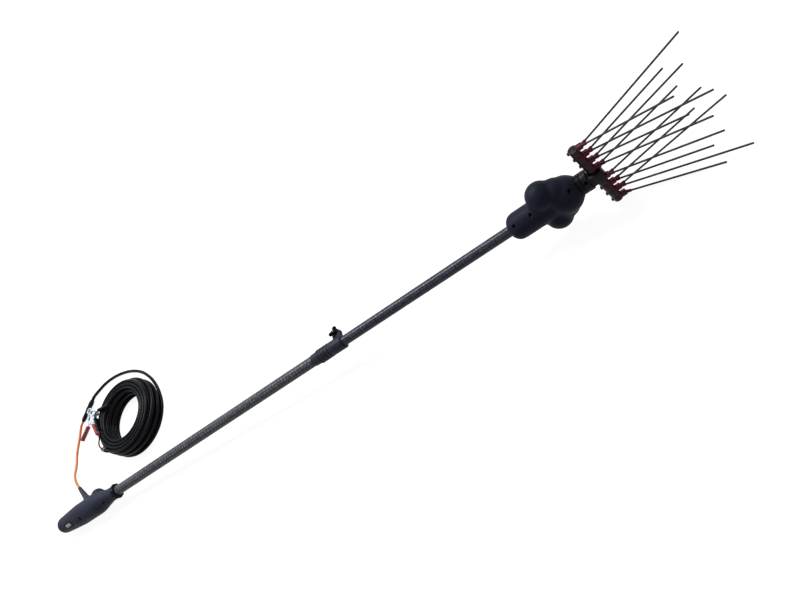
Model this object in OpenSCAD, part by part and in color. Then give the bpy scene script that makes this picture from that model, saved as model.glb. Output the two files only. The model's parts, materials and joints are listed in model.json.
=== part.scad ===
// Electric olive harvester: a telescopic pole with a battery lead, lying on a floor.
// Tool frame: X runs along the pole to the rake, Y is the way the tines open, Z runs along the rake bar.

/* [Pole] */
// Outer diameter of the lower tube
lower_d = 33; // [32.5:0.25:34]
// Outer diameter of the upper tube, which slides in the lower one
upper_d = 29; // [28.5:0.25:29]
// Wall of both tubes
tube_wall = 1.5; // [1.25:0.05:1.6]
// Part of the upper tube that shows between head and locking sleeve
upper_show = 578; // [560:1:600]
// Part of the lower tube that shows between locking sleeve and handle
lower_show = 924; // [850:1:1000]
// Whole length of the upper tube
upper_len = 1000; // [980:1:1040]
// Length of the locking sleeve
sleeve_len = 116; // [110:1:125]

/* [Handle] */
// Length of the handle from its ring to its tail
handle_len = 317; // [305:1:330]
// Greatest radius of the handle
handle_r = 37; // [36:0.5:39]
// Wall of the handle and of the head
shell_wall = 3; // [2.5:0.25:3.5]

/* [Head] */
// Length of the motor
motor_len = 53; // [50:1:60]
// How deep the upper tube sits in the head
tube_socket = 42; // [38:1:46]
// Radius of the motor neck
neck_r = 36; // [35:0.5:38]
// Radius of the two gear lobes
lobe_r = 37; // [36:0.5:38]
// Distance of the lobes from the pole's axis
lobe_off = 42; // [40:0.5:43]
// Radius of the front bulb
bulb_r = 48; // [47:0.5:50]

/* [Drive] */
// Tooth module of the gears
gear_module = 1; // [0.9:0.05:1]
// Teeth on the motor pinion
pinion_teeth = 18; // [18:2:18]
// Teeth on each crank gear
gear_teeth = 54; // [54:2:54]
// Throw of the crank pins
crank_throw = 7; // [6:0.25:7.25]

/* [Rake] */
// Diameter of the tines
tine_d = 5; // [4:0.25:5.5]
// Length of the longest tines
tine_long = 322; // [300:1:340]
// Length of the middle tines
tine_mid = 287; // [270:1:300]
// Length of the shortest tines
tine_short = 248; // [235:1:265]
// Half of the angle between the two rows
row_angle = 16.2; // [14:0.1:18]
// Sideways lean of the outermost tines
fan_angle = 6.6; // [4:0.1:8]
// Distance between the two middle holders
holder_gap = 42; // [40:0.5:46]
// Distance from one holder to the next
holder_pitch = 26.5; // [25:0.5:28]
// Diameter of the rake bar
bar_d = 18; // [16:0.5:18]

/* [Lead] */
// Diameter of the short lead on the handle
lead_d = 9; // [8:0.25:9]
// Diameter of the long cable
cable_d = 11; // [10.5:0.25:11]
// Distance between neighbouring turns of the coil
coil_pitch = 12; // [11.9:0.1:12.4]
// Radius of the coil's outermost turn
coil_r = 136; // [134:1:136]
// Turns in each layer of the coil
layer_turns = 4; // [4:1:4]
// Diameter of the two single wires
wire_d = 5; // [4.5:0.25:5.5]
// Radius of the round mouth of each battery clamp
mouth_r = 8; // [7:0.25:8.5]
// Width of the battery clamps' jaws
jaw_w = 18; // [17:0.5:20]

/* [Hidden] */
$fn = 64;

// Fits: radial room of a running fit, and the size of a cut that passes right through
running = 0.05;
beyond = 400;

// Stations along the pole, counted back from the root of the tines
motor_front = 170;
socket_wall = 6;
motor_x = [-motor_front - motor_len, -motor_front];
x_socket = motor_x[0] - 1;
x_head = x_socket - socket_wall - tube_socket;
x_sleeve = x_head - upper_show;
x_sleeve_rear = x_sleeve - sleeve_len;
x_ring = x_sleeve_rear - lower_show;
x_tail = x_ring - handle_len;
lower_r = lower_d / 2;
upper_r = upper_d / 2;
lower_bore = lower_r - tube_wall;
upper_bore = upper_r - tube_wall;

// Rake: eight holders, seven tines in row A and eight in row B
tine_r = tine_d / 2;
bar_r = bar_d / 2;
bar_x = -18;
row_a = [tine_long, tine_short, tine_mid, tine_short, tine_mid, tine_short, tine_long];
lengths_b = [tine_short, tine_long, tine_short, tine_mid, tine_mid, tine_short, tine_long, tine_short];
holders = 8;
function holder_z(n) = n < 4 ? holder_gap / 2 + holder_pitch * (3 - n) : -holder_z(7 - n);
function lean(n) = fan_angle * holder_z(n) / holder_z(0);
function tine_way(row, n) =
    [cos(row_angle) * cos(lean(n)), row * sin(row_angle), cos(row_angle) * sin(lean(n))];
function tine_len(row, n) = row > 0 ? row_a[n] : lengths_b[n];
function tine_tip(row, n) = [0, 0, holder_z(n)] + (tine_len(row, n) - tine_r) * tine_way(row, n);
tips = [for (n = [0:6]) tine_tip(1, n), for (n = [0:7]) tine_tip(-1, n)];

// Handle: the tail is a ball, the belly a straight stretch that the tool lies on
ring_w = 10;
x_grip = x_ring - ring_w / 2;
tail_r = 29;
x_ball = x_tail + tail_r;
x_belly = x_ball + 90;

// How the tool lies: on the belly of the handle and on two tips, the last of row B and of row A
tip_b = tine_tip(-1, 7);
tip_a = tine_tip(1, 6);
tip_span = [tip_a.y - tip_b.y, tip_a.z - tip_b.z];
function slope(roll, pitch) =
    (tip_b.y * sin(roll) - tip_b.z * cos(roll) - handle_r + tine_r / cos(pitch)) / (tip_b.x - x_belly);
function lying(roll, pitch, left) = left == 0 ? [roll, pitch] :
    let (s = slope(roll, pitch))
    lying(atan2(tip_span.y, tip_span.x) + asin((tip_a.x - tip_b.x) * s / norm(tip_span)), atan(s), left - 1);
pose = lying(10, 2, 12);
roll = pose[0];
pitch = pose[1];
function pitched(v) = [v.x * cos(pitch) - v.z * sin(pitch), v.y, v.x * sin(pitch) + v.z * cos(pitch)];
function rolled(v) =
    pitched([v.x, v.y * cos(roll) + v.z * sin(roll), -v.y * sin(roll) + v.z * cos(roll)]);
laid = [for (t = tips) rolled(t)];
x_far = max([for (t = laid) t.x]) + tine_r;
x_near = pitched([x_ball, 0, 0]).x - tail_r;
y_mid = (max([for (t = laid) t.y]) + min([for (t = laid) t.y])) / 2;
frame = [-(x_far + x_near) / 2, -y_mid, tine_r - min([for (t = laid) t.z])];

module pole() { translate(frame) rotate([0, -pitch, 0]) children(); }
module tool() { pole() rotate([-roll, 0, 0]) children(); }
module head() { tool() rotate([90, 0, 0]) children(); }

// Shapes that repeat
module rod(r, x0, x1) { translate([x0, 0, 0]) rotate([0, 90, 0]) cylinder(r = r, h = x1 - x0); }
module cone(r0, r1, x0, x1) {
    translate([x0, 0, 0]) rotate([0, 90, 0]) cylinder(r1 = r0, r2 = r1, h = x1 - x0);
}
module post(r, x, y, z0, z1) { translate([x, y, z0]) cylinder(r = r, h = z1 - z0); }
module upper_half() { translate([-beyond * 8, -beyond, 0]) cube([beyond * 16, beyond * 2, beyond]); }
module lower_half() { mirror([0, 0, 1]) upper_half(); }
module along(way) { rotate([0, acos(way.z / norm(way)), atan2(way.y, way.x)]) children(); }

// Tube swept along a list of points, with sides round it and flat ends
function unit(v) = v / norm(v);
function tangent(p, i) = unit(p[min(i + 1, len(p) - 1)] - p[max(i - 1, 0)]);
function across(t) = unit(cross([0, 0, 1], t));
function ring_at(p, i, r, sides) =
    let (t = tangent(p, i), s = across(t), u = cross(t, s))
    [for (k = [0:sides - 1]) let (a = 360 * (k + 0.5) / sides) p[i] + r * (cos(a) * s + sin(a) * u)];
module tube(p, r, sides) {
    n = len(p);
    points = [for (i = [0:n - 1]) each ring_at(p, i, r, sides)];
    walls = [for (i = [0:n - 2]) for (k = [0:sides - 1])
        let (a = i * sides + k, b = i * sides + (k + 1) % sides)
        each [[a, a + sides, b], [b, a + sides, b + sides]]];
    caps = [for (k = [1:sides - 2])
        each [[0, k, k + 1], [(n - 1) * sides, (n - 1) * sides + k + 1, (n - 1) * sides + k]]];
    polyhedron(points, concat(walls, caps));
}

// Handle
grip_stations = [[0, 22.5], [31, 23], [60, 29], [92, handle_r - 1], [105, handle_r]];
tail_reach = [x_ball - x_belly, handle_r];
tail_tilt = atan2(handle_r, x_belly - x_ball) + acos(tail_r / norm(tail_reach));
tail_touch = [x_ball + tail_r * cos(tail_tilt), tail_r * sin(tail_tilt)];
grip_front = [for (g = grip_stations) [x_grip - g[0], g[1]]];
bump_x = x_grip - 94;
bump_y = 26;
bump_r = 24;
boot_x = x_ring - 133;
boot_tilt = 36;
boot_r = 12;
boot_base = [36, 58];
boot_end = 122;
tube_in = 70;
boot_way = [-sin(boot_tilt), cos(boot_tilt), 0];
function boot_at(t) = frame + pitched([boot_x, 0, 0] + t * boot_way);

module boot_line() { translate([boot_x, 0, 0]) along(boot_way) children(); }
module handle_solid(inset) {
    front = [for (g = concat(grip_front, [[x_belly, handle_r]])) [g[1] - inset, g[0]]];
    rotate([0, 90, 0]) rotate_extrude()
        polygon(concat([[0, x_grip]], front, arc([0, x_ball], tail_r - inset, tail_tilt, 180)));
    translate([bump_x, bump_y, 0]) sphere(r = bump_r - inset);
}
cavity_front = x_grip - tube_in - shell_wall;
front_screw = [x_grip - 48, 21.5];
rear_screw = [x_ball + 113, 27];
screw_spots = [for (s = [front_screw, rear_screw]) for (side = [-1, 1]) [s.x, side * s.y]];
screw_r = 1.75;
screw_head_r = 4;
handle_seat = 9;
boss_r = 5;
module handle_shell() {
    difference() {
        union() {
            handle_solid(0);
            boot_line() cylinder(r = boot_r + shell_wall, h = boot_base[1] - 8);
        }
        difference() {
            intersection() {
                handle_solid(shell_wall);
                translate([cavity_front - beyond, -beyond, -beyond]) cube([beyond, beyond * 2, beyond * 2]);
            }
            for (side = [-1, 1]) post(boss_r, rear_screw.x, side * rear_screw.y, -beyond, beyond);
            for (side = [-1, 1]) post(3, board_x + side * board_post, 0, -beyond, board_z);
        }
        rod(lower_r, x_grip - tube_in, x_grip + 1);
        rod(lead_r + 1, cavity_front - 1, x_grip);
        boot_line() cylinder(r = boot_r, h = beyond);
        for (s = screw_spots) {
            post(screw_r, s.x, s.y, -handle_seat, beyond);
            post(screw_head_r, s.x, s.y, handle_seat, beyond);
        }
        switch_seat() bezel_block();
    }
}
module handle_top() { color([0.20, 0.21, 0.24]) pole() intersection() { handle_shell(); upper_half(); } }
module handle_bottom() { color([0.18, 0.19, 0.22]) pole() intersection() { handle_shell(); lower_half(); } }
module handle_screws() {
    color([0.55, 0.55, 0.57]) pole() for (s = screw_spots) {
        post(screw_r, s.x, s.y, -handle_seat, handle_seat);
        post(screw_head_r - 0.3, s.x, s.y, handle_seat, handle_seat + 2.5);
    }
}
module handle_ring() {
    color([0.06, 0.07, 0.08]) pole() difference() {
        union() {
            rod(26, x_ring - ring_w / 2, x_ring + ring_w / 2 - 2);
            cone(26, 23, x_ring + ring_w / 2 - 2, x_ring + ring_w / 2);
        }
        rod(lower_r, x_ring - ring_w, x_ring + ring_w);
    }
}

// Rocker switch on the side of the tail: its bezel, and the rocker, tipped to off
switch_x = x_ball + 48;
switch_up = 42;
switch_out = handle_r - (x_belly - switch_x) * (handle_r - tail_touch[1]) / (x_belly - tail_touch[0]);
bezel = [34, 19, 14];
window = [24, 12.4];
rocker = [20, 11.6, 9];
rocker_tip = 8;
rocker_pin_r = 1.5;
module switch_seat() {
    translate([switch_x, 0, 0]) rotate([90 - switch_up, 0, 0]) translate([0, 0, switch_out]) children();
}
module bezel_block() { translate([-bezel.x / 2, -bezel.y / 2, 1.5 - bezel.z]) cube(bezel); }
module rocker_pin(r, h) { rotate([90, 0, 0]) cylinder(r = r, h = h, center = true); }
module switch_bezel() {
    color([0.04, 0.04, 0.05]) pole() switch_seat() difference() {
        bezel_block();
        translate([-window.x / 2, -window.y / 2, -bezel.z]) cube([window.x, window.y, bezel.z * 2]);
        rocker_pin(rocker_pin_r + running, bezel.y - 4);
    }
}
module rocker_switch() {
    color([0.82, 0.83, 0.85]) pole() switch_seat() rotate([0, rocker_tip, 0]) union() {
        intersection() {
            translate([-rocker.x / 2, -rocker.y / 2, -5]) cube(rocker);
            for (side = [-1, 1]) rotate([0, -side * rocker_tip, 0])
                translate([side * rocker.x / 2, 0, -5])
                    cube([rocker.x * 1.1, rocker.y, rocker.z * 1.5], center = true);
        }
        rocker_pin(rocker_pin_r, bezel.y - 4.2);
    }
}

// Control board and the boot that the lead comes out of
board = [70, 42, 1.6];
board_x = x_ball + 92;
board_z = -14;
board_post = 28;
module control_board() {
    color([0.07, 0.28, 0.16]) pole() {
        translate([board_x - board.x / 2, -board.y / 2, board_z]) cube(board);
        for (side = [-1, 1]) post(4, board_x + side * 18, 8, board_z + board.z, board_z + board.z + 9);
        translate([board_x - 10, -16, board_z + board.z]) cube([20, 10, 5]);
    }
}
module cable_boot() {
    color([0.10, 0.10, 0.11]) pole() boot_line() {
        translate([0, 0, boot_base[0]]) cylinder(r = boot_r, h = boot_base[1] - boot_base[0]);
        translate([0, 0, boot_base[1]])
            cylinder(r1 = boot_r - 1.5, r2 = lead_d / 2 + 1.5, h = boot_end - boot_base[1]);
    }
}

// Tubes and the lead inside them
sleeve_step = 18;
x_upper_front = x_head + tube_socket;
x_upper_rear = x_upper_front - upper_len;
lead_r = 6;
module lower_tube() {
    color([0.10, 0.11, 0.14]) pole() difference() {
        rod(lower_r, x_grip - tube_in, x_sleeve - sleeve_step);
        rod(lower_bore, x_grip - tube_in - 1, x_sleeve);
    }
}
module upper_tube() {
    color([0.09, 0.10, 0.13]) tool() difference() {
        rod(upper_r, x_upper_rear, x_upper_front);
        rod(upper_bore, x_upper_rear - 1, x_upper_front + 1);
    }
}
module guide_bush() {
    color([0.85, 0.85, 0.82]) tool() difference() {
        union() {
            rod(lower_bore - running, x_upper_rear - 14, x_upper_rear);
            rod(upper_bore, x_upper_rear, x_upper_rear + 25);
        }
        rod(lead_r + 1.5, x_upper_rear - 15, x_upper_rear + 26);
    }
}
module spiral_lead() { color([0.05, 0.05, 0.05]) pole() rod(lead_r, cavity_front + 1, x_upper_front - 2); }

// Locking sleeve: ridged, slit at the front, drawn together by a bolt and a wing nut
sleeve_r = 20.5;
slit = 2.5;
slit_len = 36;
lug_x = x_sleeve - 17;
lug_y = 36;
lug_r = 12;
lug_t = 8;
bolt_r = 3;
lug_top = slit / 2 + lug_t;
module clamp_sleeve() {
    color([0.13, 0.14, 0.17]) pole() difference() {
        union() {
            cone(lower_r + 1.2, sleeve_r - 1, x_sleeve_rear, x_sleeve_rear + 30);
            rod(sleeve_r - 1, x_sleeve_rear + 30, x_sleeve - 45);
            for (k = [0:3]) rod(sleeve_r + 0.6, x_sleeve_rear + 24 + 12 * k, x_sleeve_rear + 29 + 12 * k);
            rod(sleeve_r, x_sleeve - 45, x_sleeve);
            post(lug_r, lug_x, lug_y, -lug_top, lug_top);
            translate([lug_x - lug_r, 0, -lug_top]) cube([lug_r * 2, lug_y, lug_top * 2]);
        }
        rod(lower_r, x_sleeve_rear - 1, x_sleeve - sleeve_step);
        rod(upper_r + running, x_sleeve - sleeve_step - 1, x_sleeve + 1);
        translate([x_sleeve - slit_len, 0, -slit / 2]) cube([slit_len + 1, beyond, slit]);
        post(bolt_r + running, lug_x, lug_y, -beyond, beyond);
    }
}
module clamp_bolt() {
    color([0.62, 0.63, 0.65]) pole() {
        post(bolt_r, lug_x, lug_y, -lug_top, lug_top + 18);
        translate([lug_x, lug_y, -lug_top - 4.5]) cylinder(r = 5.7, h = 4.5, $fn = 6);
    }
}
module wing_nut() {
    color([0.07, 0.07, 0.08]) pole() translate([lug_x, lug_y, lug_top + 0.3]) rotate(35) difference() {
        union() {
            cylinder(r1 = 7, r2 = 6, h = 9);
            for (side = [-1, 1]) translate([side * 10, 0, 9]) rotate([90, 0, 0])
                cylinder(r = 6, h = 3.6, center = true);
            translate([-10, -1.8, 3]) cube([20, 3.6, 8]);
        }
        translate([0, 0, -1]) cylinder(r = bolt_r + running, h = 30);
    }
}

// Head: motor neck, two gear lobes in line with the rake bar and a front bulb, in two shells
x_nose = -64;
nose_r = 27;
lobe_x = -152;
bulb_x = -108;
neck_round = 18;
carrier_r = 16;
head_bolt = [[x_head + 26, 26.5], [x_head + 76, 27.5], [x_nose - 20, 29]];
bulb_front = 40;
arc_steps = 9;
function arc(middle, r, a0, a1) =
    [for (k = [0:arc_steps]) let (a = a0 + (a1 - a0) * k / arc_steps) middle + r * [sin(a), cos(a)]];
function head_outline(inset) =
    let (bulb = bulb_r - inset, neck = neck_r - inset)
    concat([[0, x_head + inset]],
        arc([neck_r - neck_round, x_head + neck_round], neck_round - inset, 180, 90),
        arc([0, bulb_x], bulb, 180 - asin(neck / bulb), bulb_front),
        [[nose_r - inset, x_nose - inset], [0, x_nose - inset]]);
module head_solid(inset) {
    rotate([0, 90, 0]) rotate_extrude() polygon(head_outline(inset));
    for (side = [-1, 1]) translate([lobe_x, side * lobe_off, 0]) sphere(r = lobe_r - inset);
}
head_seat = 7;
head_screws = [for (s = head_bolt) for (side = [-1, 1]) [s.x, side * s.y]];
module head_shell() {
    difference() {
        head_solid(0);
        difference() {
            intersection() {
                head_solid(shell_wall);
                translate([x_socket, -beyond, -beyond]) cube(beyond * 2);
            }
            for (s = head_screws) post(boss_r - 0.5, s.x, s.y, -beyond, beyond);
        }
        rod(upper_r, x_head - 1, x_upper_front);
        rod(lead_r + 2, x_head, x_socket + 1);
        rod(carrier_r, x_nose - 20, x_nose + 1);
        for (s = head_screws) {
            post(screw_r, s.x, s.y, -head_seat, beyond);
            post(screw_head_r, s.x, s.y, head_seat, beyond);
        }
    }
}
module housing_top() { color([0.08, 0.09, 0.13]) head() intersection() { head_shell(); upper_half(); } }
module housing_bottom() { color([0.07, 0.08, 0.12]) head() intersection() { head_shell(); lower_half(); } }
module housing_screws() {
    color([0.6, 0.6, 0.62]) head() for (s = head_screws) {
        post(screw_r, s.x, s.y, -head_seat, head_seat);
        post(screw_head_r - 0.3, s.x, s.y, head_seat, head_seat + 2.5);
    }
}
collar_len = 11;
module nose_collar() {
    color([0.03, 0.03, 0.04]) tool() difference() {
        union() {
            rod(nose_r - 3, x_nose, x_nose + collar_len);
            for (k = [0:2]) rod(nose_r, x_nose + 0.5 + 4 * k, x_nose + 2.5 + 4 * k);
        }
        rod(shaft_r + 2, x_nose - 1, x_nose + collar_len + 1);
    }
}

// Drive: motor, pinion, two crank gears, and the yoke that their pins swing
shaft_r = 6;
motor_r = 22;
plate_x = [motor_x[1], -164];
gear_x = [-158, -146];
yoke_x = [-142, -133];
axle_y = gear_module * (pinion_teeth + gear_teeth) / 2;
axle_r = 3;
spindle_r = 2.5;
pin_r = 4;
pin_root_r = 2.5;
slot_room = 1.15;
backlash = 0.12;
pressure = 20;
function involute(base, a) = base * [cos(a) + a * PI / 180 * sin(a), sin(a) - a * PI / 180 * cos(a)];
function spun(p, a) = [p.x * cos(a) - p.y * sin(a), p.x * sin(a) + p.y * cos(a)];
function flank_turn(base, r) = sqrt(max(0, (r / base) * (r / base) - 1)) * 180 / PI;
function flank_point(base, r) = involute(base, flank_turn(base, max(r, base)));
module toothed(teeth, thick) {
    r = gear_module * teeth / 2;
    base = r * cos(pressure);
    root = r - 1.25 * gear_module;
    tip = r + gear_module;
    at_pitch = flank_point(base, r);
    half = 90 / teeth - backlash / r * 90 / PI;
    start = atan2(at_pitch.y, at_pitch.x) + half;
    radii = [max(root, base), r, tip];
    flank = concat([spun([root, 0], -start)], [for (q = radii) spun(flank_point(base, q), -start)]);
    tooth = concat(flank, [for (i = [len(flank) - 1:-1:0]) [flank[i].x, -flank[i].y]]);
    linear_extrude(height = thick)
        polygon([for (k = [0:teeth - 1]) for (p = tooth) spun(p, 360 * k / teeth)]);
}
module geared(teeth, turn) {
    translate([gear_x[0], 0, 0]) rotate([0, 90, 0]) rotate(90 + turn) toothed(teeth, gear_x[1] - gear_x[0]);
}
module crank_gear(side) {
    color([0.85, 0.84, 0.78]) head() translate([0, side * axle_y, 0]) difference() {
        geared(gear_teeth, 180 / gear_teeth);
        rod(axle_r + running, gear_x[0] - 1, gear_x[1] + 1);
        translate([0, side * crank_throw, 0]) rod(pin_root_r, gear_x[0] + 4, gear_x[1] + 1);
    }
}
module crank_pin(side) {
    color([0.7, 0.7, 0.72]) head() translate([0, side * (axle_y + crank_throw), 0]) {
        rod(pin_root_r, gear_x[0] + 4, gear_x[1]);
        rod(pin_r, gear_x[1], yoke_x[1] + 1);
    }
}
module crank_gear_a() { crank_gear(1); }
module crank_gear_b() { crank_gear(-1); }
module crank_pin_a() { crank_pin(1); }
module crank_pin_b() { crank_pin(-1); }
module gearbox_plate() {
    color([0.62, 0.63, 0.65]) head() difference() {
        union() {
            rod(neck_r - shell_wall, plate_x[0], plate_x[1]);
            for (side = [-1, 1]) translate([0, side * axle_y, 0]) rod(12, plate_x[0], plate_x[1]);
        }
        rod(5, plate_x[0] - 1, plate_x[1] + 1);
        for (side = [-1, 1]) translate([0, side * axle_y, 0]) rod(axle_r, plate_x[0] - 1, plate_x[1] + 1);
    }
}
module stub_axles() {
    color([0.7, 0.7, 0.72]) head() for (side = [-1, 1]) translate([0, side * axle_y, 0]) {
        rod(axle_r, plate_x[0], gear_x[1] - 1);
        rod(axle_r + 2, plate_x[1], gear_x[0] - 0.4);
    }
}
module motor_can() {
    color([0.45, 0.46, 0.48]) tool() difference() {
        rod(motor_r, motor_x[0], motor_x[1]);
        rod(motor_r - 4, motor_x[0] + 3, motor_x[1] - 3);
        rod(spindle_r + running, motor_x[0] + 1, motor_x[1] + 1);
    }
}
module motor_rotor() {
    color([0.55, 0.35, 0.2]) tool() {
        rod(spindle_r, motor_x[0] + 1.4, gear_x[1]);
        rod(motor_r - 7, motor_x[0] + 8, motor_x[1] - 8);
    }
}
module drive_pinion() {
    color([0.7, 0.7, 0.72]) head() difference() {
        geared(pinion_teeth, 0);
        rod(spindle_r, gear_x[0] - 1, gear_x[1] + 1);
    }
}
bearing_r = 11;
bearing_w = 9;
carrier_x = [-124, x_nose];
bearing_starts = [carrier_x[0] + 3, carrier_x[1] - 14];
module output_bearings() {
    color([0.7, 0.7, 0.73]) tool() for (x = bearing_starts) difference() {
        rod(bearing_r, x, x + bearing_w);
        rod(shaft_r + running, x - 1, x + bearing_w + 1);
    }
}
module bearing_carrier() {
    color([0.5, 0.51, 0.53]) tool() difference() {
        union() {
            rod(carrier_r, carrier_x[0], carrier_x[1]);
            rod(24, carrier_x[0] + 8, carrier_x[0] + 14);
        }
        rod(shaft_r + 2, carrier_x[0] - 1, carrier_x[1] + 1);
        for (x = bearing_starts) rod(bearing_r, x, x + bearing_w);
    }
}
module output_shaft() { color([0.72, 0.72, 0.74]) tool() rod(shaft_r, yoke_x[0], bar_x - bar_r - 1); }
arm_w = 19;
arm_end = axle_y + crank_throw + pin_r + 5;
module yoke_slot(side) {
    inner = axle_y - crank_throw;
    outer = axle_y + crank_throw;
    for (y = [inner, outer]) translate([0, side * y, 0])
        rod(pin_r + slot_room, yoke_x[0] - 1, yoke_x[1] + 1);
    translate([yoke_x[0] - 1, side > 0 ? inner : -outer, -pin_r - slot_room])
        cube([yoke_x[1] - yoke_x[0] + 2, outer - inner, (pin_r + slot_room) * 2]);
}
module yoke() {
    color([0.55, 0.56, 0.58]) head() difference() {
        union() {
            rod(13, yoke_x[0], yoke_x[1]);
            translate([yoke_x[0], -arm_end, -arm_w / 2]) cube([yoke_x[1] - yoke_x[0], arm_end * 2, arm_w]);
        }
        rod(shaft_r, yoke_x[0] - 1, yoke_x[1] + 1);
        for (side = [-1, 1]) yoke_slot(side);
    }
}

// Rake: hub, bar, holders and tines
hub_r = 27;
drum_r = 20;
hub_x = [x_nose + collar_len + 2, bar_x - bar_r - 9.5];
hub_screw = [hub_x[0] + 7, 14];
holder_bolt_r = 2.5;
bar_half = holder_z(0) + holder_bolt_r + 1;
plug_h = 1;
module hub_screw_at(z, r, y0, y1) {
    translate([hub_screw.x, y1, z]) rotate([90, 0, 0]) cylinder(r = r, h = y1 - y0);
}
module rake_hub() {
    color([0.05, 0.05, 0.06]) tool() difference() {
        union() {
            rod(hub_r, hub_x[0], hub_x[1]);
            translate([bar_x, 0, -drum_half]) cylinder(r = drum_r, h = drum_half * 2);
            translate([hub_x[0], 1 - drum_r, -drum_half])
                cube([bar_x - hub_x[0], drum_r * 2 - 2, drum_half * 2]);
        }
        translate([bar_x, 0, -beyond]) cylinder(r = bar_r, h = beyond * 2);
        rod(shaft_r, hub_x[0] - 1, bar_x - bar_r - 1);
        for (side = [-1, 1]) hub_screw_at(side * hub_screw.y, 2.5, -beyond, 8);
        for (side = [-1, 1]) hub_screw_at(side * hub_screw.y, 4.5, -beyond, -12);
    }
}
module hub_bolts() {
    color([0.65, 0.65, 0.68]) tool() for (side = [-1, 1]) {
        hub_screw_at(side * hub_screw.y, 2.5, -12, 8);
        hub_screw_at(side * hub_screw.y, 4.2, -16.5, -12);
    }
}
module rake_bar() {
    color([0.12, 0.05, 0.07]) tool() difference() {
        translate([bar_x, 0, -bar_half]) cylinder(r = bar_r, h = bar_half * 2);
        for (n = [0:holders - 1]) holder_at(n) rod(holder_bolt_r, bar_x - beyond, bar_x + beyond);
    }
}
module bar_knobs() {
    color([0.04, 0.03, 0.04]) tool() for (turn = [0, 180]) translate([bar_x, 0, 0]) rotate([turn, 0, 0]) {
        translate([0, 0, bar_half]) cylinder(r = bar_r - 0.2, h = plug_h);
        translate([0, 0, bar_half + plug_h]) cylinder(r1 = bar_r - 0.2, r2 = bar_r - 3, h = plug_h);
    }
}
bolt_head_r = 4.5;
saddle_r = bar_r + 3.5;
saddle_end = 5;
saddle_gap = 0.5;
socket_r = 5;
socket_tip_r = tine_r + 1.2;
socket_box = socket_r + 1;
tine_root = tine_r / tan(row_angle) + 1.2;
socket_len = tine_root + 9;
drum_half = holder_gap / 2 - socket_box - 0.5;
saddle_half = holder_pitch / 2 - saddle_gap / 2;
function socket_rows(n) = n < 7 ? [-1, 1] : [-1];
function saddle_from(n) = n == 3 || n == 7 ? -saddle_end : -saddle_half;
function saddle_to(n) = n == 0 || n == 4 ? saddle_end : saddle_half;
module holder_at(n) { translate([0, 0, holder_z(n)]) children(); }
module tine_holders() {
    color([0.45, 0.05, 0.12]) tool() for (n = [0:holders - 1]) holder_at(n) difference() {
        union() {
            translate([bar_x, 0, saddle_from(n)]) cylinder(r = saddle_r, h = saddle_to(n) - saddle_from(n));
            translate([bar_x, -socket_box, -socket_box]) cube([24, socket_box * 2, socket_box * 2]);
            for (row = socket_rows(n)) along(tine_way(row, n))
                cylinder(r1 = socket_r, r2 = socket_tip_r, h = socket_len);
        }
        translate([bar_x, 0, -beyond]) cylinder(r = bar_r, h = beyond * 2);
        for (row = socket_rows(n)) along(tine_way(row, n)) translate([0, 0, tine_root])
            cylinder(r = tine_r, h = socket_len);
        rod(holder_bolt_r, bar_x - beyond, bar_x + bar_r + 4);
        rod(bolt_head_r, bar_x - beyond, bar_x - saddle_r + 1);
    }
}
module holder_bolts() {
    color([0.05, 0.05, 0.06]) tool() for (n = [0:holders - 1]) holder_at(n) {
        rod(holder_bolt_r, bar_x - saddle_r, bar_x + bar_r + 4);
        rod(bolt_head_r, bar_x - saddle_r - 4, bar_x - saddle_r + 1);
    }
}
module tine(row, n) {
    along(tine_way(row, n)) {
        translate([0, 0, tine_root]) cylinder(r = tine_r, h = tine_len(row, n) - tine_r - tine_root);
        translate([0, 0, tine_len(row, n) - tine_r]) sphere(r = tine_r);
    }
}
module tines_a() { color([0.16, 0.17, 0.19]) tool() for (n = [0:6]) holder_at(n) tine(1, n); }
module tines_b() { color([0.16, 0.17, 0.19]) tool() for (n = [0:7]) holder_at(n) tine(-1, n); }

// Lead on the floor: boot, orange lead, connector, loose loop, coil, splitter, two wires
lead_rest = [
    [-1163, 119, 35.5], [-1173, 137, 33], [-1182, 155, 28], [-1190, 172, 21], [-1196, 190, 13],
    [-1200, 208, 7.5], [-1201, 226, 5], [-1200, 244, 4.7],
    [-1196, 262, 4.7], [-1191, 279, 4.7], [-1185, 296, 4.7],
    [-1179, 313, 5], [-1172, 330, 6.5], [-1163, 347, 9]];
plug_r = 8;
socket_shell_r = 9;
plug_len = 42;
plug_turn = 45;
plug_from = [-1150, 362, socket_shell_r + 0.5];
plug_way = [cos(plug_turn), sin(plug_turn), 0];
lead_route = concat([boot_at(boot_end), boot_at(boot_end + 12)], lead_rest,
    [plug_from - 8 * plug_way, plug_from]);
module orange_lead() { color([0.80, 0.38, 0.12]) tube(lead_route, lead_d / 2, 10); }
module plug_axis() { translate(plug_from) rotate([0, 90, plug_turn]) children(); }
module lead_plug() {
    color([0.06, 0.06, 0.07]) plug_axis() {
        cylinder(r1 = lead_d / 2 + 1.5, r2 = plug_r, h = 12);
        translate([0, 0, 12]) cylinder(r = plug_r, h = plug_len - 12);
    }
}
module cable_socket() {
    color([0.05, 0.05, 0.06]) plug_axis() translate([0, 0, plug_len]) {
        cylinder(r = socket_shell_r, h = plug_len - 12);
        translate([0, 0, plug_len - 12]) cylinder(r1 = socket_shell_r, r2 = cable_d / 2 + 1, h = 12);
    }
}

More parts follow.
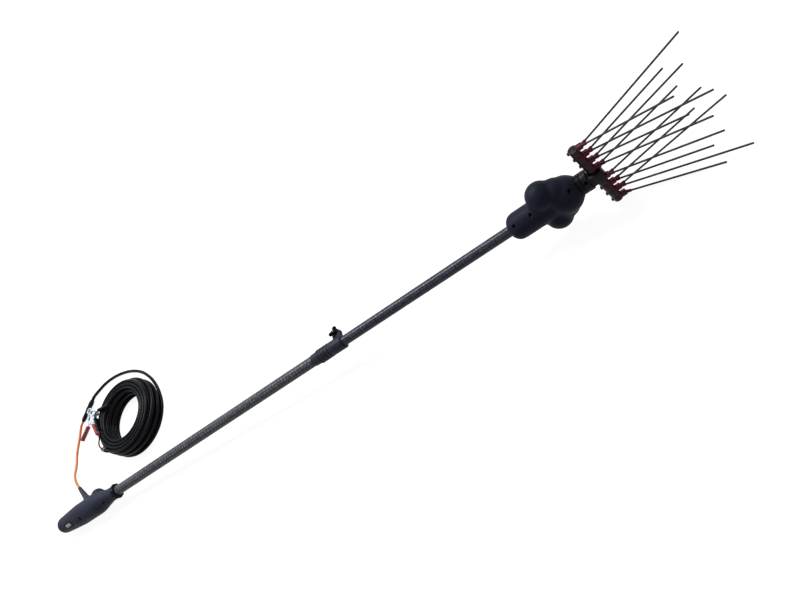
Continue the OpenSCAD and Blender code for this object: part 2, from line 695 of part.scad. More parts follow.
// Coil: it turns clockwise, in and out again layer by layer, and climbs where the spiral reverses
coil_at = [-870, 240];
coil_layers = 6;
coil_from = 16;
coil_oval = 0.03;
coil_long = -37;
coil_sway = 0.7;
cable_r = cable_d / 2;
cable_floor = cable_r + 0.1;
layer_rise = cable_d + 0.6;
loop_rings = 24;
end_rings = 9;
coil_turns = coil_layers * layer_turns - 1 + end_rings / loop_rings;
coil_inner = coil_r - coil_pitch * layer_turns;
function wave(u) = abs((u % (2 * layer_turns)) - layer_turns);
function eased(t) = t < 0 ? 0 : t > 1 ? 1 : t * t * (3 - 2 * t);
function climb(u, k = 1) = k < coil_layers ? eased((u - k * layer_turns) * 2 + 0.5) + climb(u, k + 1) : 0;
function coil_angle(u) = coil_from - 360 * u;
function coil_way(u) = [sin(coil_angle(u)), -cos(coil_angle(u)), 0];
function coil_point(u) =
    let (a = coil_angle(u), k = climb(u),
        r = (coil_inner + coil_pitch * wave(u)) * (1 + coil_oval * cos(2 * (a - coil_long))))
    [coil_at.x + r * cos(a) + coil_sway * sin(115 * k), coil_at.y + r * sin(a) + coil_sway * sin(160 * k),
        cable_floor + layer_rise * k];
coil_start = coil_point(0);
coil_stop = coil_point(coil_turns);
coil_end_way = coil_way(coil_turns);
coil_path = concat([coil_start - cable_d * coil_way(0)],
    [for (k = [0:loop_rings * (coil_layers * layer_turns - 1) + end_rings]) coil_point(k / loop_rings)],
    [coil_stop + cable_d * coil_end_way]);
function gap_from(i) =
    min([for (j = [i + loop_rings / 2:1:len(coil_path) - 1]) norm(coil_path[i] - coil_path[j])]);
coil_gap = min([for (i = [0:len(coil_path) - 1 - loop_rings]) gap_from(i)]) - cable_d;
module cable_coil() {
    echo(least_gap_between_turns = coil_gap);
    color([0.04, 0.04, 0.045]) tube(coil_path, cable_r, 6);
}
tail_from = plug_from + 2 * plug_len * plug_way;
tail_rest = [
    [-1056, 444, 6.5], [-1033, 452, 5.6], [-1008, 456, 5.6], [-982, 457, 5.6], [-956, 455, 5.6],
    [-930, 450.5, 5.6], [-904, 443.5, 5.6], [-879, 434.5, 5.6], [-855, 423, 5.6], [-832, 409, 5.6],
    [-811, 392.5, 5.6], [-793, 373.5, 5.6], [-777, 354, 5.6], [-763.5, 333, 5.6], [-751.5, 309, 5.6]];
cable_route = concat([tail_from, tail_from + 12 * plug_way], tail_rest, [coil_path[0]]);
module cable_tail() { color([0.04, 0.04, 0.045]) tube(cable_route, cable_r, 10); }

split_len = 30;
split_from = coil_stop + cable_d * coil_end_way;
split_side = [-coil_end_way.y, coil_end_way.x, 0];
wire_r = wire_d / 2;
wire_apart = wire_d / 2 + 0.3;
module cable_splitter() {
    color([0.05, 0.05, 0.05]) translate(split_from) rotate([0, -90, coil_angle(coil_turns) + 90]) union() {
        cylinder(r = cable_r + 0.4, h = split_len - 12);
        translate([-cable_r, -cable_r - 1.5, split_len - 14]) cube([cable_d, cable_d + 3, 14]);
    }
}
split_end = split_from + split_len * coil_end_way;

// Battery clamps: the red one on the floor, the black one on the coil
red_at = [-1105, 335, 0];
red_turn = -11;
black_at = [-988, 298, (coil_layers - 1) * layer_rise + cable_d + 0.5];
black_turn = 50;
grip_spread = 34;
knuckle_r = 7;
rivet_r = 3;
jaw_t = 3;
mouth_y = 30;
jaw_gap = 0.6;
knuckle_t = 4;
leg_t = 3;
leg_len = 40;
grip_len = 52;
grip_t = 11;
grip_off = 16;
leg_x = 7.5;
spring_r = leg_x * cos(grip_spread) - leg_t / 2 - 0.3;
module red_place() { translate(red_at) rotate(red_turn) children(); }
module black_place() { translate(black_at) rotate(black_turn) mirror([1, 0, 0]) children(); }
function grip_way(turn, side) =
    let (a = turn - 90 + side * grip_spread) [cos(a), sin(a), 0];
function wire_mouth(at, turn, side) =
    at + [side * leg_x * cos(turn), side * leg_x * sin(turn), jaw_w / 2]
    + (grip_off + grip_len) * grip_way(turn, side);
module jaw_leg() {
    translate([leg_x, 0, 3]) rotate(grip_spread) translate([-leg_t / 2, -leg_len, 0])
        cube([leg_t, leg_len + 5, jaw_w - 6]);
}
module half_jaw(levels) {
    difference() {
        union() {
            translate([0, mouth_y, 0]) cylinder(r = mouth_r + jaw_t, h = jaw_w);
            translate([mouth_r - 2, 0, 0]) cube([jaw_t + 2, mouth_y, jaw_w]);
            jaw_leg();
            for (z = levels) translate([0, 0, z]) {
                cylinder(r = knuckle_r, h = knuckle_t);
                cube([mouth_r, knuckle_r, knuckle_t]);
            }
        }
        translate([0, mouth_y, -1]) cylinder(r = mouth_r, h = jaw_w + 2);
        translate([-beyond + jaw_gap, knuckle_r + 1, -1]) cube([beyond, beyond, jaw_w + 2]);
        translate([0, 0, -1]) cylinder(r = rivet_r + (len(levels) == 1 ? running : 0), h = jaw_w + 2);
        if (len(levels) == 1) knuckle_room([0, jaw_w - knuckle_t]);
        if (len(levels) == 2) knuckle_room([knuckle_t + 0.3]);
    }
}
module knuckle_room(levels) {
    for (z = levels) translate([0, 0, z - 0.3]) cylinder(r = knuckle_r + 1, h = knuckle_t + 0.6);
}
module half_grip() {
    difference() {
        translate([leg_x, 0, 0]) rotate(grip_spread) union() {
            translate([-grip_t / 2, -grip_off - grip_len, 1]) cube([grip_t, grip_len, jaw_w - 2]);
            translate([0, -grip_off, 1]) cylinder(r = grip_t / 2, h = jaw_w - 2);
        }
        jaw_leg();
    }
}
module fixed_jaw() { half_jaw([0, jaw_w - knuckle_t]); }
module moving_jaw() { mirror([1, 0, 0]) half_jaw([knuckle_t + 0.3]); }
zinc = [0.78, 0.82, 0.86];
grip_red = [0.62, 0.05, 0.05];
grip_black = [0.04, 0.04, 0.045];
module red_jaw_fixed() { color(zinc) red_place() fixed_jaw(); }
module red_jaw_moving() { color(zinc) red_place() moving_jaw(); }
module red_grip_fixed() { color(grip_red) red_place() half_grip(); }
module red_grip_moving() { color(grip_red) red_place() mirror([1, 0, 0]) half_grip(); }
module black_jaw_fixed() { color(zinc) black_place() fixed_jaw(); }
module black_jaw_moving() { color(zinc) black_place() moving_jaw(); }
module black_grip_fixed() { color(grip_black) black_place() half_grip(); }
module black_grip_moving() { color(grip_black) black_place() mirror([1, 0, 0]) half_grip(); }
module rivet() {
    cylinder(r = rivet_r, h = jaw_w);
    translate([0, 0, jaw_w]) cylinder(r = rivet_r + 2, h = 1.5);
}
module spring() {
    translate([0, 0, 2 * knuckle_t + 0.8]) difference() {
        cylinder(r = spring_r, h = jaw_w - 3 * knuckle_t - 1.2);
        translate([0, 0, -1]) cylinder(r = rivet_r + 0.2, h = jaw_w);
    }
}
module clamp_rivets() { color(zinc) { red_place() rivet(); black_place() rivet(); } }
module clamp_springs() { color([0.5, 0.5, 0.52]) { red_place() spring(); black_place() spring(); } }

// Single wires: from the splitter to the fixed grip of each clamp
red_end = wire_mouth(red_at, red_turn, 1);
black_end = wire_mouth(black_at, black_turn, -1);
red_rest = [
    [-983.5, 157.5, 62.4], [-992, 164, 58.8], [-999.5, 172, 52.2], [-1006, 181, 43.2], [-1012, 191, 33],
    [-1018, 202, 23], [-1025, 213.5, 14.5], [-1033, 225, 8.6], [-1042, 236, 5.4], [-1051, 245.5, 5],
    [-1060, 253.5, 6.7]];
black_rest = [
    [-979.5, 162, 64.6], [-985, 168.5, 66.8], [-987.5, 176.5, 69.4], [-986.5, 185, 71.6], [-982.5, 193, 73.2],
    [-977.5, 200.5, 74.8], [-973.3, 208.5, 76.8]];
module wire(start, rest, stop, way) {
    tube(concat([start, start + 8 * coil_end_way], rest, [stop + 10 * way, stop]), wire_r, 8);
}
module red_wire() {
    color([0.65, 0.06, 0.06])
        wire(split_end + wire_apart * split_side, red_rest, red_end, grip_way(red_turn, 1));
}
module black_wire() {
    color([0.04, 0.04, 0.04])
        wire(split_end - wire_apart * split_side, black_rest, black_end, grip_way(black_turn, -1));
}

handle_top();
handle_bottom();
handle_screws();
handle_ring();
switch_bezel();
rocker_switch();
control_board();
cable_boot();
lower_tube();
clamp_sleeve();
clamp_bolt();
wing_nut();
spiral_lead();
upper_tube();
guide_bush();
housing_top();
housing_bottom();
housing_screws();
nose_collar();
gearbox_plate();
motor_can();
stub_axles();
output_bearings();
bearing_carrier();
motor_rotor();
drive_pinion();
crank_gear_a();
crank_pin_a();
crank_gear_b();
crank_pin_b();
output_shaft();
yoke();
rake_hub();
hub_bolts();
rake_bar();
bar_knobs();
tine_holders();
holder_bolts();
tines_a();
tines_b();
orange_lead();
lead_plug();
cable_socket();
cable_tail();
cable_coil();
cable_splitter();
red_wire();
black_wire();
red_jaw_fixed();
red_grip_fixed();
red_jaw_moving();
red_grip_moving();
black_jaw_fixed();
black_grip_fixed();
black_jaw_moving();
black_grip_moving();
clamp_rivets();
clamp_springs();
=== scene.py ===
import json
import math

import bmesh
import bpy
from mathutils import Matrix, Vector

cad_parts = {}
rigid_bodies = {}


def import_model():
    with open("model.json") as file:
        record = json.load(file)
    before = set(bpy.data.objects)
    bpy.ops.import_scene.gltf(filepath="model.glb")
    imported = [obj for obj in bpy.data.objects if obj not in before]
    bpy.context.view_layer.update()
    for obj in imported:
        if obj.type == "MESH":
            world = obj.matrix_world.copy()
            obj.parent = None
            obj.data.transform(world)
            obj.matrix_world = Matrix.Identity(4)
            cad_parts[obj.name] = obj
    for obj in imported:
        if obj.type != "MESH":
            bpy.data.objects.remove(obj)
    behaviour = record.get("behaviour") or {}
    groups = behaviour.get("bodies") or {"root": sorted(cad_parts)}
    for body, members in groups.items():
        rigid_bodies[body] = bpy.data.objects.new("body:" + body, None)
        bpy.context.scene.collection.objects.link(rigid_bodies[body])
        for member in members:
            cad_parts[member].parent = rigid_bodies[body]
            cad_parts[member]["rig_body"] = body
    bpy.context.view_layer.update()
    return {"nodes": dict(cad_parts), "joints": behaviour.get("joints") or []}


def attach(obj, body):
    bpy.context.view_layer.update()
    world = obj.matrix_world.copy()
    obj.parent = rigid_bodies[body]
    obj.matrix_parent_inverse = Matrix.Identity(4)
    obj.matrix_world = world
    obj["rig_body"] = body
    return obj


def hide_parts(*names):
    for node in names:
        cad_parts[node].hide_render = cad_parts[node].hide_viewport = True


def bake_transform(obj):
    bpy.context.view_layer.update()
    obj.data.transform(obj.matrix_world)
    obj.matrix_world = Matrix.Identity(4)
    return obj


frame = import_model()
nodes = frame["nodes"]
joints = {j["name"]: j for j in frame["joints"]}
mm = 0.001
print("frame loaded:", len(nodes), "nodes")


# Places: the tool frame has X along the pole, Y the way the tines open, Z along the bar
def axesAt(origin, alongX, alongY):
    place = Matrix((alongX, alongY, alongX.cross(alongY))).transposed().to_4x4()
    place.translation = origin
    return place


gearStation = 152 * mm  # the gears' axles lie this far behind the root of the tines
gearA = Vector(joints["gear_a_spin"]["pos_m"])
gearB = Vector(joints["gear_b_spin"]["pos_m"])
alongPole = Vector(joints["rake_swing"]["axis"]).normalized()
tineRoot = (gearA + gearB) / 2 + alongPole * gearStation
toolPlace = axesAt(tineRoot, alongPole, (gearA - gearB).normalized().cross(alongPole))
headPlace = toolPlace @ Matrix.Rotation(math.pi / 2, 4, "X")  # its Y runs along the bar, through both lobes
polePlace = axesAt(tineRoot, alongPole, Vector((0, 1, 0)))  # its Y runs level, across the pole

# Camera, in the photograph's frame of 800 by 600
cameraView = {
    "spot": (1.319127, -1.274942, 1.848959),
    "turnDeg": (23.2709, 36.9647, -16.2359),
    "lens": 40.299,
    "sensor": 36.0,
}
cameraData = bpy.data.cameras.new("photoCamera")
cameraData.lens = cameraView["lens"]
cameraData.sensor_width = cameraView["sensor"]
cameraData.clip_end = 50
camera = bpy.data.objects.new("photoCamera", cameraData)
camera.location = cameraView["spot"]
camera.rotation_euler = [math.radians(a) for a in cameraView["turnDeg"]]
bpy.context.scene.collection.objects.link(camera)
bpy.context.scene.camera = camera
bpy.context.scene.view_settings.view_transform = "Standard"
print("camera set")


# Shader groups shared by the finishes
def newGroup(name, inputs, outputs):
    group = bpy.data.node_groups.new(name, "ShaderNodeTree")
    for socketName, kind, value in inputs:
        socket = group.interface.new_socket(socketName, in_out="INPUT", socket_type=kind)
        if value is not None:
            socket.default_value = value
    for socketName, kind in outputs:
        group.interface.new_socket(socketName, in_out="OUTPUT", socket_type=kind)
    return group, group.nodes.new("NodeGroupInput"), group.nodes.new("NodeGroupOutput")


def maths(tree, operation, a, b=None, c=None):
    node = tree.nodes.new("ShaderNodeMath")
    node.operation = operation
    for socket, value in zip(node.inputs, (a, b, c)):
        if value is None:
            continue
        if isinstance(value, (int, float)):
            socket.default_value = value
        else:
            tree.links.new(value, socket)
    return node.outputs[0]


def noiseAt(tree, vector, scale, detail=3.0, roughness=0.5):
    node = tree.nodes.new("ShaderNodeTexNoise")
    node.inputs["Detail"].default_value = detail
    node.inputs["Roughness"].default_value = roughness
    tree.links.new(vector, node.inputs["Vector"])
    if isinstance(scale, (int, float)):
        node.inputs["Scale"].default_value = scale
    else:
        tree.links.new(scale, node.inputs["Scale"])
    return node.outputs[0]


def spread(tree, value, low, high):
    node = tree.nodes.new("ShaderNodeMapRange")
    node.inputs["From Min"].default_value = low
    node.inputs["From Max"].default_value = high
    tree.links.new(value, node.inputs["Value"])
    return node.outputs["Result"]


def mouldedGrain():
    group, given, made = newGroup(
        "mouldedGrain",
        [("Vector", "NodeSocketVector", None), ("Grain", "NodeSocketFloat", 900.0),
         ("Mottle", "NodeSocketFloat", 40.0)],
        [("Tint", "NodeSocketFloat"), ("Rub", "NodeSocketFloat"), ("Height", "NodeSocketFloat")],
    )
    broadShare, fineShare = 0.65, 0.35
    fine = noiseAt(group, given.outputs["Vector"], given.outputs["Grain"], detail=2.0)
    broad = noiseAt(group, given.outputs["Vector"], given.outputs["Mottle"], detail=4.0, roughness=0.6)
    tint = maths(group, "ADD", maths(group, "MULTIPLY", spread(group, broad, 0.3, 0.7), broadShare),
                 maths(group, "MULTIPLY", spread(group, fine, 0.35, 0.65), fineShare))
    group.links.new(tint, made.inputs["Tint"])
    group.links.new(spread(group, broad, 0.35, 0.75), made.inputs["Rub"])
    group.links.new(fine, made.inputs["Height"])
    return group


# Two sets of tows wind round the tube, one to the right and one to the left; the colour also carries a
# painted sheen and painted glints
weave = {"slant": 1.35, "leftTowShade": 0.45, "strands": 700.0, "strandFloor": 0.5, "glintPatches": 130.0,
         "patchFrom": 0.38, "patchTo": 0.66, "patchGain": 1.2, "patchFloor": 0.3}


def braidedTows():
    group, given, made = newGroup(
        "braidedTows",
        [("Vector", "NodeSocketVector", None), ("Radius", "NodeSocketFloat", 16 * mm),
         ("Tow", "NodeSocketFloat", 6 * mm)],
        [("WeaveAndPaintedSheen", "NodeSocketFloat"), ("Height", "NodeSocketFloat")],
    )
    split = group.nodes.new("ShaderNodeSeparateXYZ")
    group.links.new(given.outputs["Vector"], split.inputs[0])
    angle = maths(group, "ARCTAN2", split.outputs[2], split.outputs[1])
    girth = maths(group, "MULTIPLY", angle, given.outputs["Radius"])
    across = maths(group, "DIVIDE", girth, given.outputs["Tow"])
    pitch = maths(group, "MULTIPLY", given.outputs["Tow"], weave["slant"])
    down = maths(group, "DIVIDE", split.outputs[0], pitch)
    rightTow = maths(group, "ADD", down, across)
    leftTow = maths(group, "SUBTRACT", down, across)
    # the tow on top changes from square to square
    squares = maths(group, "ADD", maths(group, "FLOOR", rightTow), maths(group, "FLOOR", leftTow))
    square = maths(group, "FLOORED_MODULO", squares, 2.0)

    # each tow's crown is its bump and also a painted sheen, brightest along the tow's middle
    def crown(tow):
        share = maths(group, "FRACT", tow)
        return maths(group, "SINE", maths(group, "MULTIPLY", share, math.pi))

    upper, lower = crown(rightTow), crown(leftTow)
    # the left-hand tows are painted darker, as shade, beside the right-hand tows that catch the light
    mixed = group.nodes.new("ShaderNodeMix")
    group.links.new(square, mixed.inputs["Factor"])
    group.links.new(upper, mixed.inputs["A"])
    group.links.new(maths(group, "MULTIPLY", lower, weave["leftTowShade"]), mixed.inputs["B"])
    # fine strands and broad patches of painted glints brighten the weave
    strands = noiseAt(group, given.outputs["Vector"], weave["strands"], detail=2.0)
    glintBlotches = noiseAt(group, given.outputs["Vector"], weave["glintPatches"], detail=3.0, roughness=0.65)
    glintPatches = spread(group, glintBlotches, weave["patchFrom"], weave["patchTo"])
    paintedGlints = maths(group, "MULTIPLY", maths(group, "ADD", strands, weave["strandFloor"]),
                   maths(group, "MULTIPLY_ADD", glintPatches, weave["patchGain"], weave["patchFloor"]))
    weaveAndPaintedSheen = maths(group, "MULTIPLY", mixed.outputs["Result"], paintedGlints)
    group.links.new(weaveAndPaintedSheen, made.inputs["WeaveAndPaintedSheen"])
    group.links.new(maths(group, "MAXIMUM", upper, lower), made.inputs["Height"])
    return group


def spangle():
    group, given, made = newGroup(
        "spangle",
        [("Vector", "NodeSocketVector", None), ("Grain", "NodeSocketFloat", 350.0)],
        [("Tint", "NodeSocketFloat"), ("Height", "NodeSocketFloat")],
    )
    cells = group.nodes.new("ShaderNodeTexVoronoi")
    group.links.new(given.outputs["Vector"], cells.inputs["Vector"])
    group.links.new(given.outputs["Grain"], cells.inputs["Scale"])
    tone = group.nodes.new("ShaderNodeSeparateColor")
    group.links.new(cells.outputs["Color"], tone.inputs[0])
    group.links.new(tone.outputs[0], made.inputs["Tint"])
    group.links.new(noiseAt(group, given.outputs["Vector"], 600.0), made.inputs["Height"])
    return group


grainGroup, braidGroup, spangleGroup = mouldedGrain(), braidedTows(), spangle()


def startFinish(name):
    material = bpy.data.materials.new(name)
    material.use_nodes = True
    tree = material.node_tree
    coords = tree.nodes.new("ShaderNodeTexCoord").outputs["Object"]
    return material, tree, tree.nodes["Principled BSDF"], coords


def placeGroup(tree, group, vector, **values):
    node = tree.nodes.new("ShaderNodeGroup")
    node.node_tree = group
    tree.links.new(vector, node.inputs["Vector"])
    for key, value in values.items():
        node.inputs[key].default_value = value
    return node


def mixTone(tree, factor, dark, light):
    node = tree.nodes.new("ShaderNodeMix")
    node.data_type = "RGBA"
    tree.links.new(factor, node.inputs["Factor"])
    for socket, tone in ((node.inputs[6], dark), (node.inputs[7], light)):
        if isinstance(tone, tuple):
            socket.default_value = (*tone, 1)
        else:
            tree.links.new(tone, socket)
    return node.outputs[2]


def addBump(tree, shader, height, strength, distance):
    bump = tree.nodes.new("ShaderNodeBump")
    bump.inputs["Strength"].default_value = strength
    bump.inputs["Distance"].default_value = distance
    tree.links.new(height, bump.inputs["Height"])
    tree.links.new(bump.outputs["Normal"], shader.inputs["Normal"])


def roughBetween(tree, shader, factor, low, high):
    node = tree.nodes.new("ShaderNodeMapRange")
    node.inputs["To Min"].default_value = low
    node.inputs["To Max"].default_value = high
    tree.links.new(factor, node.inputs["Value"])
    tree.links.new(node.outputs["Result"], shader.inputs["Roughness"])


def localCoords(tree, coords, place):
    toLocal = place.inverted()
    turned = tree.nodes.new("ShaderNodeMapping")
    turned.inputs["Location"].default_value = toLocal.translation
    turned.inputs["Rotation"].default_value = toLocal.to_euler("XYZ")
    tree.links.new(coords, turned.inputs["Vector"])
    return turned.outputs[0]


def mouldedFinish(name, dark, light, rough, grain, mottle, relief, shine=0.2, speck=None, fade=None):
    material, tree, shader, coords = startFinish(name)
    group = placeGroup(tree, grainGroup, coords, Grain=grain, Mottle=mottle)
    tone = mixTone(tree, group.outputs["Tint"], dark, light)
    if speck:  # pale flecks in the moulding
        flecks = spread(tree, noiseAt(tree, coords, speck["scale"], detail=1.0), speck["from"], speck["to"])
        tone = mixTone(tree, flecks, tone, speck["tone"])
    if fade:  # the colour changes along the tool
        split = tree.nodes.new("ShaderNodeSeparateXYZ")
        tree.links.new(localCoords(tree, coords, toolPlace), split.inputs[0])
        share = spread(tree, split.outputs[0], fade["from"], fade["to"])
        tone = mixTone(tree, share, tone, mixTone(tree, group.outputs["Tint"], fade["dark"], fade["light"]))
    tree.links.new(tone, shader.inputs["Base Color"])
    roughBetween(tree, shader, group.outputs["Rub"], *rough)
    addBump(tree, shader, group.outputs["Height"], strength=relief, distance=0.15 * mm)
    shader.inputs["Specular IOR Level"].default_value = shine
    return material


def metalFinish(name, dark, light, rough, grain):
    material, tree, shader, coords = startFinish(name)
    group = placeGroup(tree, spangleGroup, coords, Grain=grain)
    tree.links.new(mixTone(tree, group.outputs["Tint"], dark, light), shader.inputs["Base Color"])
    roughBetween(tree, shader, group.outputs["Tint"], *rough)
    addBump(tree, shader, group.outputs["Height"], strength=0.1, distance=0.05 * mm)
    shader.inputs["Metallic"].default_value = 1.0
    return material


def carbonFinish(name, dark, light, radius, tow):
    material, tree, shader, coords = startFinish(name)
    group = placeGroup(tree, braidGroup, localCoords(tree, coords, polePlace), Radius=radius, Tow=tow)
    # the weave with its painted sheen and painted glints sets the colour, between the dark and the light tone
    tree.links.new(mixTone(tree, group.outputs["WeaveAndPaintedSheen"], dark, light), shader.inputs["Base Color"])
    roughBetween(tree, shader, group.outputs["WeaveAndPaintedSheen"], low=0.42, high=0.26)
    addBump(tree, shader, group.outputs["Height"], strength=0.5, distance=0.4 * mm)
    shader.inputs["Specular IOR Level"].default_value = 0.12
    shader.inputs["Coat Weight"].default_value = 0.1
    shader.inputs["Coat Roughness"].default_value = 0.1
    return material


finish = {
    "handle": mouldedFinish(
        "handleCharcoal", dark=(0.008, 0.0095, 0.019), light=(0.023, 0.027, 0.048), rough=(0.45, 0.65),
        grain=700, mottle=25, relief=0.45, shine=0.1,
        speck={"scale": 520.0, "from": 0.64, "to": 0.70, "tone": (0.052, 0.054, 0.070)}),
    "housing": mouldedFinish(
        "housingBlueBlack", dark=(0.0045, 0.0055, 0.012), light=(0.012, 0.0145, 0.029), rough=(0.48, 0.66),
        grain=650, mottle=18, relief=0.4, shine=0.07),
    "sleeve": mouldedFinish(
        "sleeveCharcoal", dark=(0.007, 0.008, 0.014), light=(0.018, 0.020, 0.032), rough=(0.42, 0.6),
        grain=800, mottle=45, relief=0.35, shine=0.14),
    "black": mouldedFinish(
        "blackMoulding", dark=(0.002, 0.0022, 0.004), light=(0.006, 0.0066, 0.011), rough=(0.34, 0.52),
        grain=900, mottle=60, relief=0.2, shine=0.09),
    "boot": mouldedFinish(
        "bootRubber", dark=(0.022, 0.024, 0.028), light=(0.045, 0.048, 0.054), rough=(0.55, 0.72),
        grain=600, mottle=60, relief=0.35),
    "rocker": mouldedFinish(
        "rockerPale", dark=(0.24, 0.25, 0.30), light=(0.38, 0.39, 0.45), rough=(0.25, 0.4),
        grain=700, mottle=90, relief=0.1, shine=0.5),
    "cable": mouldedFinish(
        "cableSheath", dark=(0.0012, 0.0016, 0.0026), light=(0.004, 0.0046, 0.007), rough=(0.28, 0.44),
        grain=500, mottle=30, relief=0.15, shine=0.08),
    "orange": mouldedFinish(
        "orangeSheath", dark=(0.44, 0.125, 0.03), light=(0.66, 0.23, 0.065), rough=(0.35, 0.5),
        grain=500, mottle=60, relief=0.15, shine=0.4),
    "redWire": mouldedFinish(
        "redWireSheath", dark=(0.22, 0.008, 0.015), light=(0.34, 0.016, 0.028), rough=(0.3, 0.45),
        grain=500, mottle=60, relief=0.15, shine=0.4),
    "redGrip": mouldedFinish(
        "redDippedGrip", dark=(0.20, 0.004, 0.008), light=(0.34, 0.010, 0.014), rough=(0.25, 0.4),
        grain=400, mottle=70, relief=0.12, shine=0.4),
    "maroon": mouldedFinish(
        "maroonBar", dark=(0.006, 0.002, 0.004), light=(0.016, 0.005, 0.008), rough=(0.35, 0.55),
        grain=700, mottle=70, relief=0.2),
    "crimson": mouldedFinish(
        "crimsonHolder", dark=(0.009, 0.0025, 0.005), light=(0.024, 0.005, 0.010), rough=(0.32, 0.5),
        grain=700, mottle=80, relief=0.15, shine=0.12,
        fade={"from": -17 * mm, "to": 0.0, "dark": (0.042, 0.003, 0.010), "light": (0.12, 0.007, 0.022)}),
    "tine": mouldedFinish(
        "tineRod", dark=(0.014, 0.016, 0.017), light=(0.038, 0.043, 0.044), rough=(0.4, 0.58),
        grain=1200, mottle=220, relief=0.25),
    "nylon": mouldedFinish(
        "nylonGear", dark=(0.62, 0.60, 0.54), light=(0.74, 0.72, 0.66), rough=(0.4, 0.55),
        grain=700, mottle=80, relief=0.1, shine=0.5),
    "board": mouldedFinish(
        "boardGreen", dark=(0.01, 0.06, 0.03), light=(0.02, 0.10, 0.05), rough=(0.35, 0.5),
        grain=900, mottle=200, relief=0.1, shine=0.5),
    # the light tones of the tubes are the colour of the tows' painted sheen and glints
    "lowerTube": carbonFinish(
        "carbonLower", dark=(0.006, 0.007, 0.011), light=(0.150, 0.158, 0.185),
        radius=16.5 * mm, tow=9.0 * mm),
    "upperTube": carbonFinish(
        "carbonUpper", dark=(0.002, 0.0025, 0.006), light=(0.066, 0.072, 0.112),
        radius=14.5 * mm, tow=8.0 * mm),
    "zinc": metalFinish(
        "zincPlate", dark=(0.55, 0.60, 0.63), light=(0.80, 0.86, 0.90), rough=(0.18, 0.34), grain=420),
    "steel": metalFinish(
        "steelBright", dark=(0.45, 0.45, 0.46), light=(0.66, 0.66, 0.67), rough=(0.2, 0.36), grain=600),
    "blackSteel": metalFinish(
        "blackSteel", dark=(0.015, 0.015, 0.018), light=(0.05, 0.05, 0.055), rough=(0.3, 0.45), grain=600),
    "alloy": metalFinish(
        "castAlloy", dark=(0.42, 0.43, 0.44), light=(0.60, 0.61, 0.62), rough=(0.35, 0.5), grain=300),
    "copper": metalFinish(
        "woundCopper", dark=(0.40, 0.16, 0.07), light=(0.62, 0.28, 0.12), rough=(0.3, 0.45), grain=900),
}
print("finishes made:", len(finish))


# Cords: they follow the same routes as the solids, which are listed in millimetres
def cordCurve(name, points, diameter, material, steps):
    curve = bpy.data.curves.new(name, "CURVE")
    curve.dimensions = "3D"
    curve.bevel_depth = diameter / 2
    curve.bevel_resolution = 4
    curve.resolution_u = steps
    curve.use_fill_caps = True
    spline = curve.splines.new("BEZIER")
    spline.bezier_points.add(len(points) - 1)
    for knot, spot in zip(spline.bezier_points, points):
        knot.co = spot
        knot.handle_left_type = knot.handle_right_type = "AUTO"
    curve.materials.append(material)
    piece = bpy.data.objects.new(name, curve)
    bpy.context.scene.collection.objects.link(piece)
    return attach(piece, "pole")


def scaled(points):
    return [Vector(p) * mm for p in points]


def routeLength(points):
    return sum((b - a).length for a, b in zip(points, points[1:]))


boot = {"station": -2023, "tiltDeg": 36, "radius": 12, "base": (36, 58), "end": 122, "leadOut": 12}
bootWay = Vector((-math.sin(math.radians(boot["tiltDeg"])), math.cos(math.radians(boot["tiltDeg"])), 0))


def bootSpot(reach):
    return polePlace @ ((Vector((boot["station"], 0, 0)) + bootWay * reach) * mm)


plug = {"from": Vector((-1150, 362, 9.5)) * mm, "turnDeg": 45, "length": 42 * mm, "leadIn": 8 * mm,
        "leadOut": 12 * mm}
plugWay = Vector((math.cos(math.radians(plug["turnDeg"])), math.sin(math.radians(plug["turnDeg"])), 0))
lead = {
    "diameter": 9 * mm,
    "rest": [(-1163, 119, 35.5), (-1173, 137, 33), (-1182, 155, 28), (-1190, 172, 21), (-1196, 190, 13),
             (-1200, 208, 7.5), (-1201, 226, 5), (-1200, 244, 4.7), (-1196, 262, 4.7), (-1191, 279, 4.7),
             (-1185, 296, 4.7), (-1179, 313, 5), (-1172, 330, 6.5), (-1163, 347, 9)],
}
leadRoute = [bootSpot(boot["end"]), bootSpot(boot["end"] + boot["leadOut"]), *scaled(lead["rest"]),
             plug["from"] - plugWay * plug["leadIn"], plug["from"]]
orangeLead = cordCurve("orangeLead", leadRoute, lead["diameter"], finish["orange"], steps=6)
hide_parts("orange_lead")

coil = {
    "middle": (-870, 240), "radius": 136, "pitch": 12, "layers": 6, "layerTurns": 4, "rise": 11.6,
    "fromDeg": 16, "oval": 0.03, "longDeg": -37, "sway": 0.7, "swayDeg": (115, 160), "diameter": 11,
    "floor": 5.6, "perTurn": 24, "endSteps": 9,
    "loose": [(-1056, 444, 6.5), (-1033, 452, 5.6), (-1008, 456, 5.6), (-982, 457, 5.6), (-956, 455, 5.6),
              (-930, 450.5, 5.6), (-904, 443.5, 5.6), (-879, 434.5, 5.6), (-855, 423, 5.6), (-832, 409, 5.6),
              (-811, 392.5, 5.6), (-793, 373.5, 5.6), (-777, 354, 5.6), (-763.5, 333, 5.6),
              (-751.5, 309, 5.6)],
}
coilSteps = (coil["layers"] * coil["layerTurns"] - 1) * coil["perTurn"] + coil["endSteps"]


def eased(t):
    t = min(1, max(0, t))
    return t * t * (3 - 2 * t)


def coilAngle(turn):
    return math.radians(coil["fromDeg"] - 360 * turn)


def coilWay(turn):
    return Vector((math.sin(coilAngle(turn)), -math.cos(coilAngle(turn)), 0))


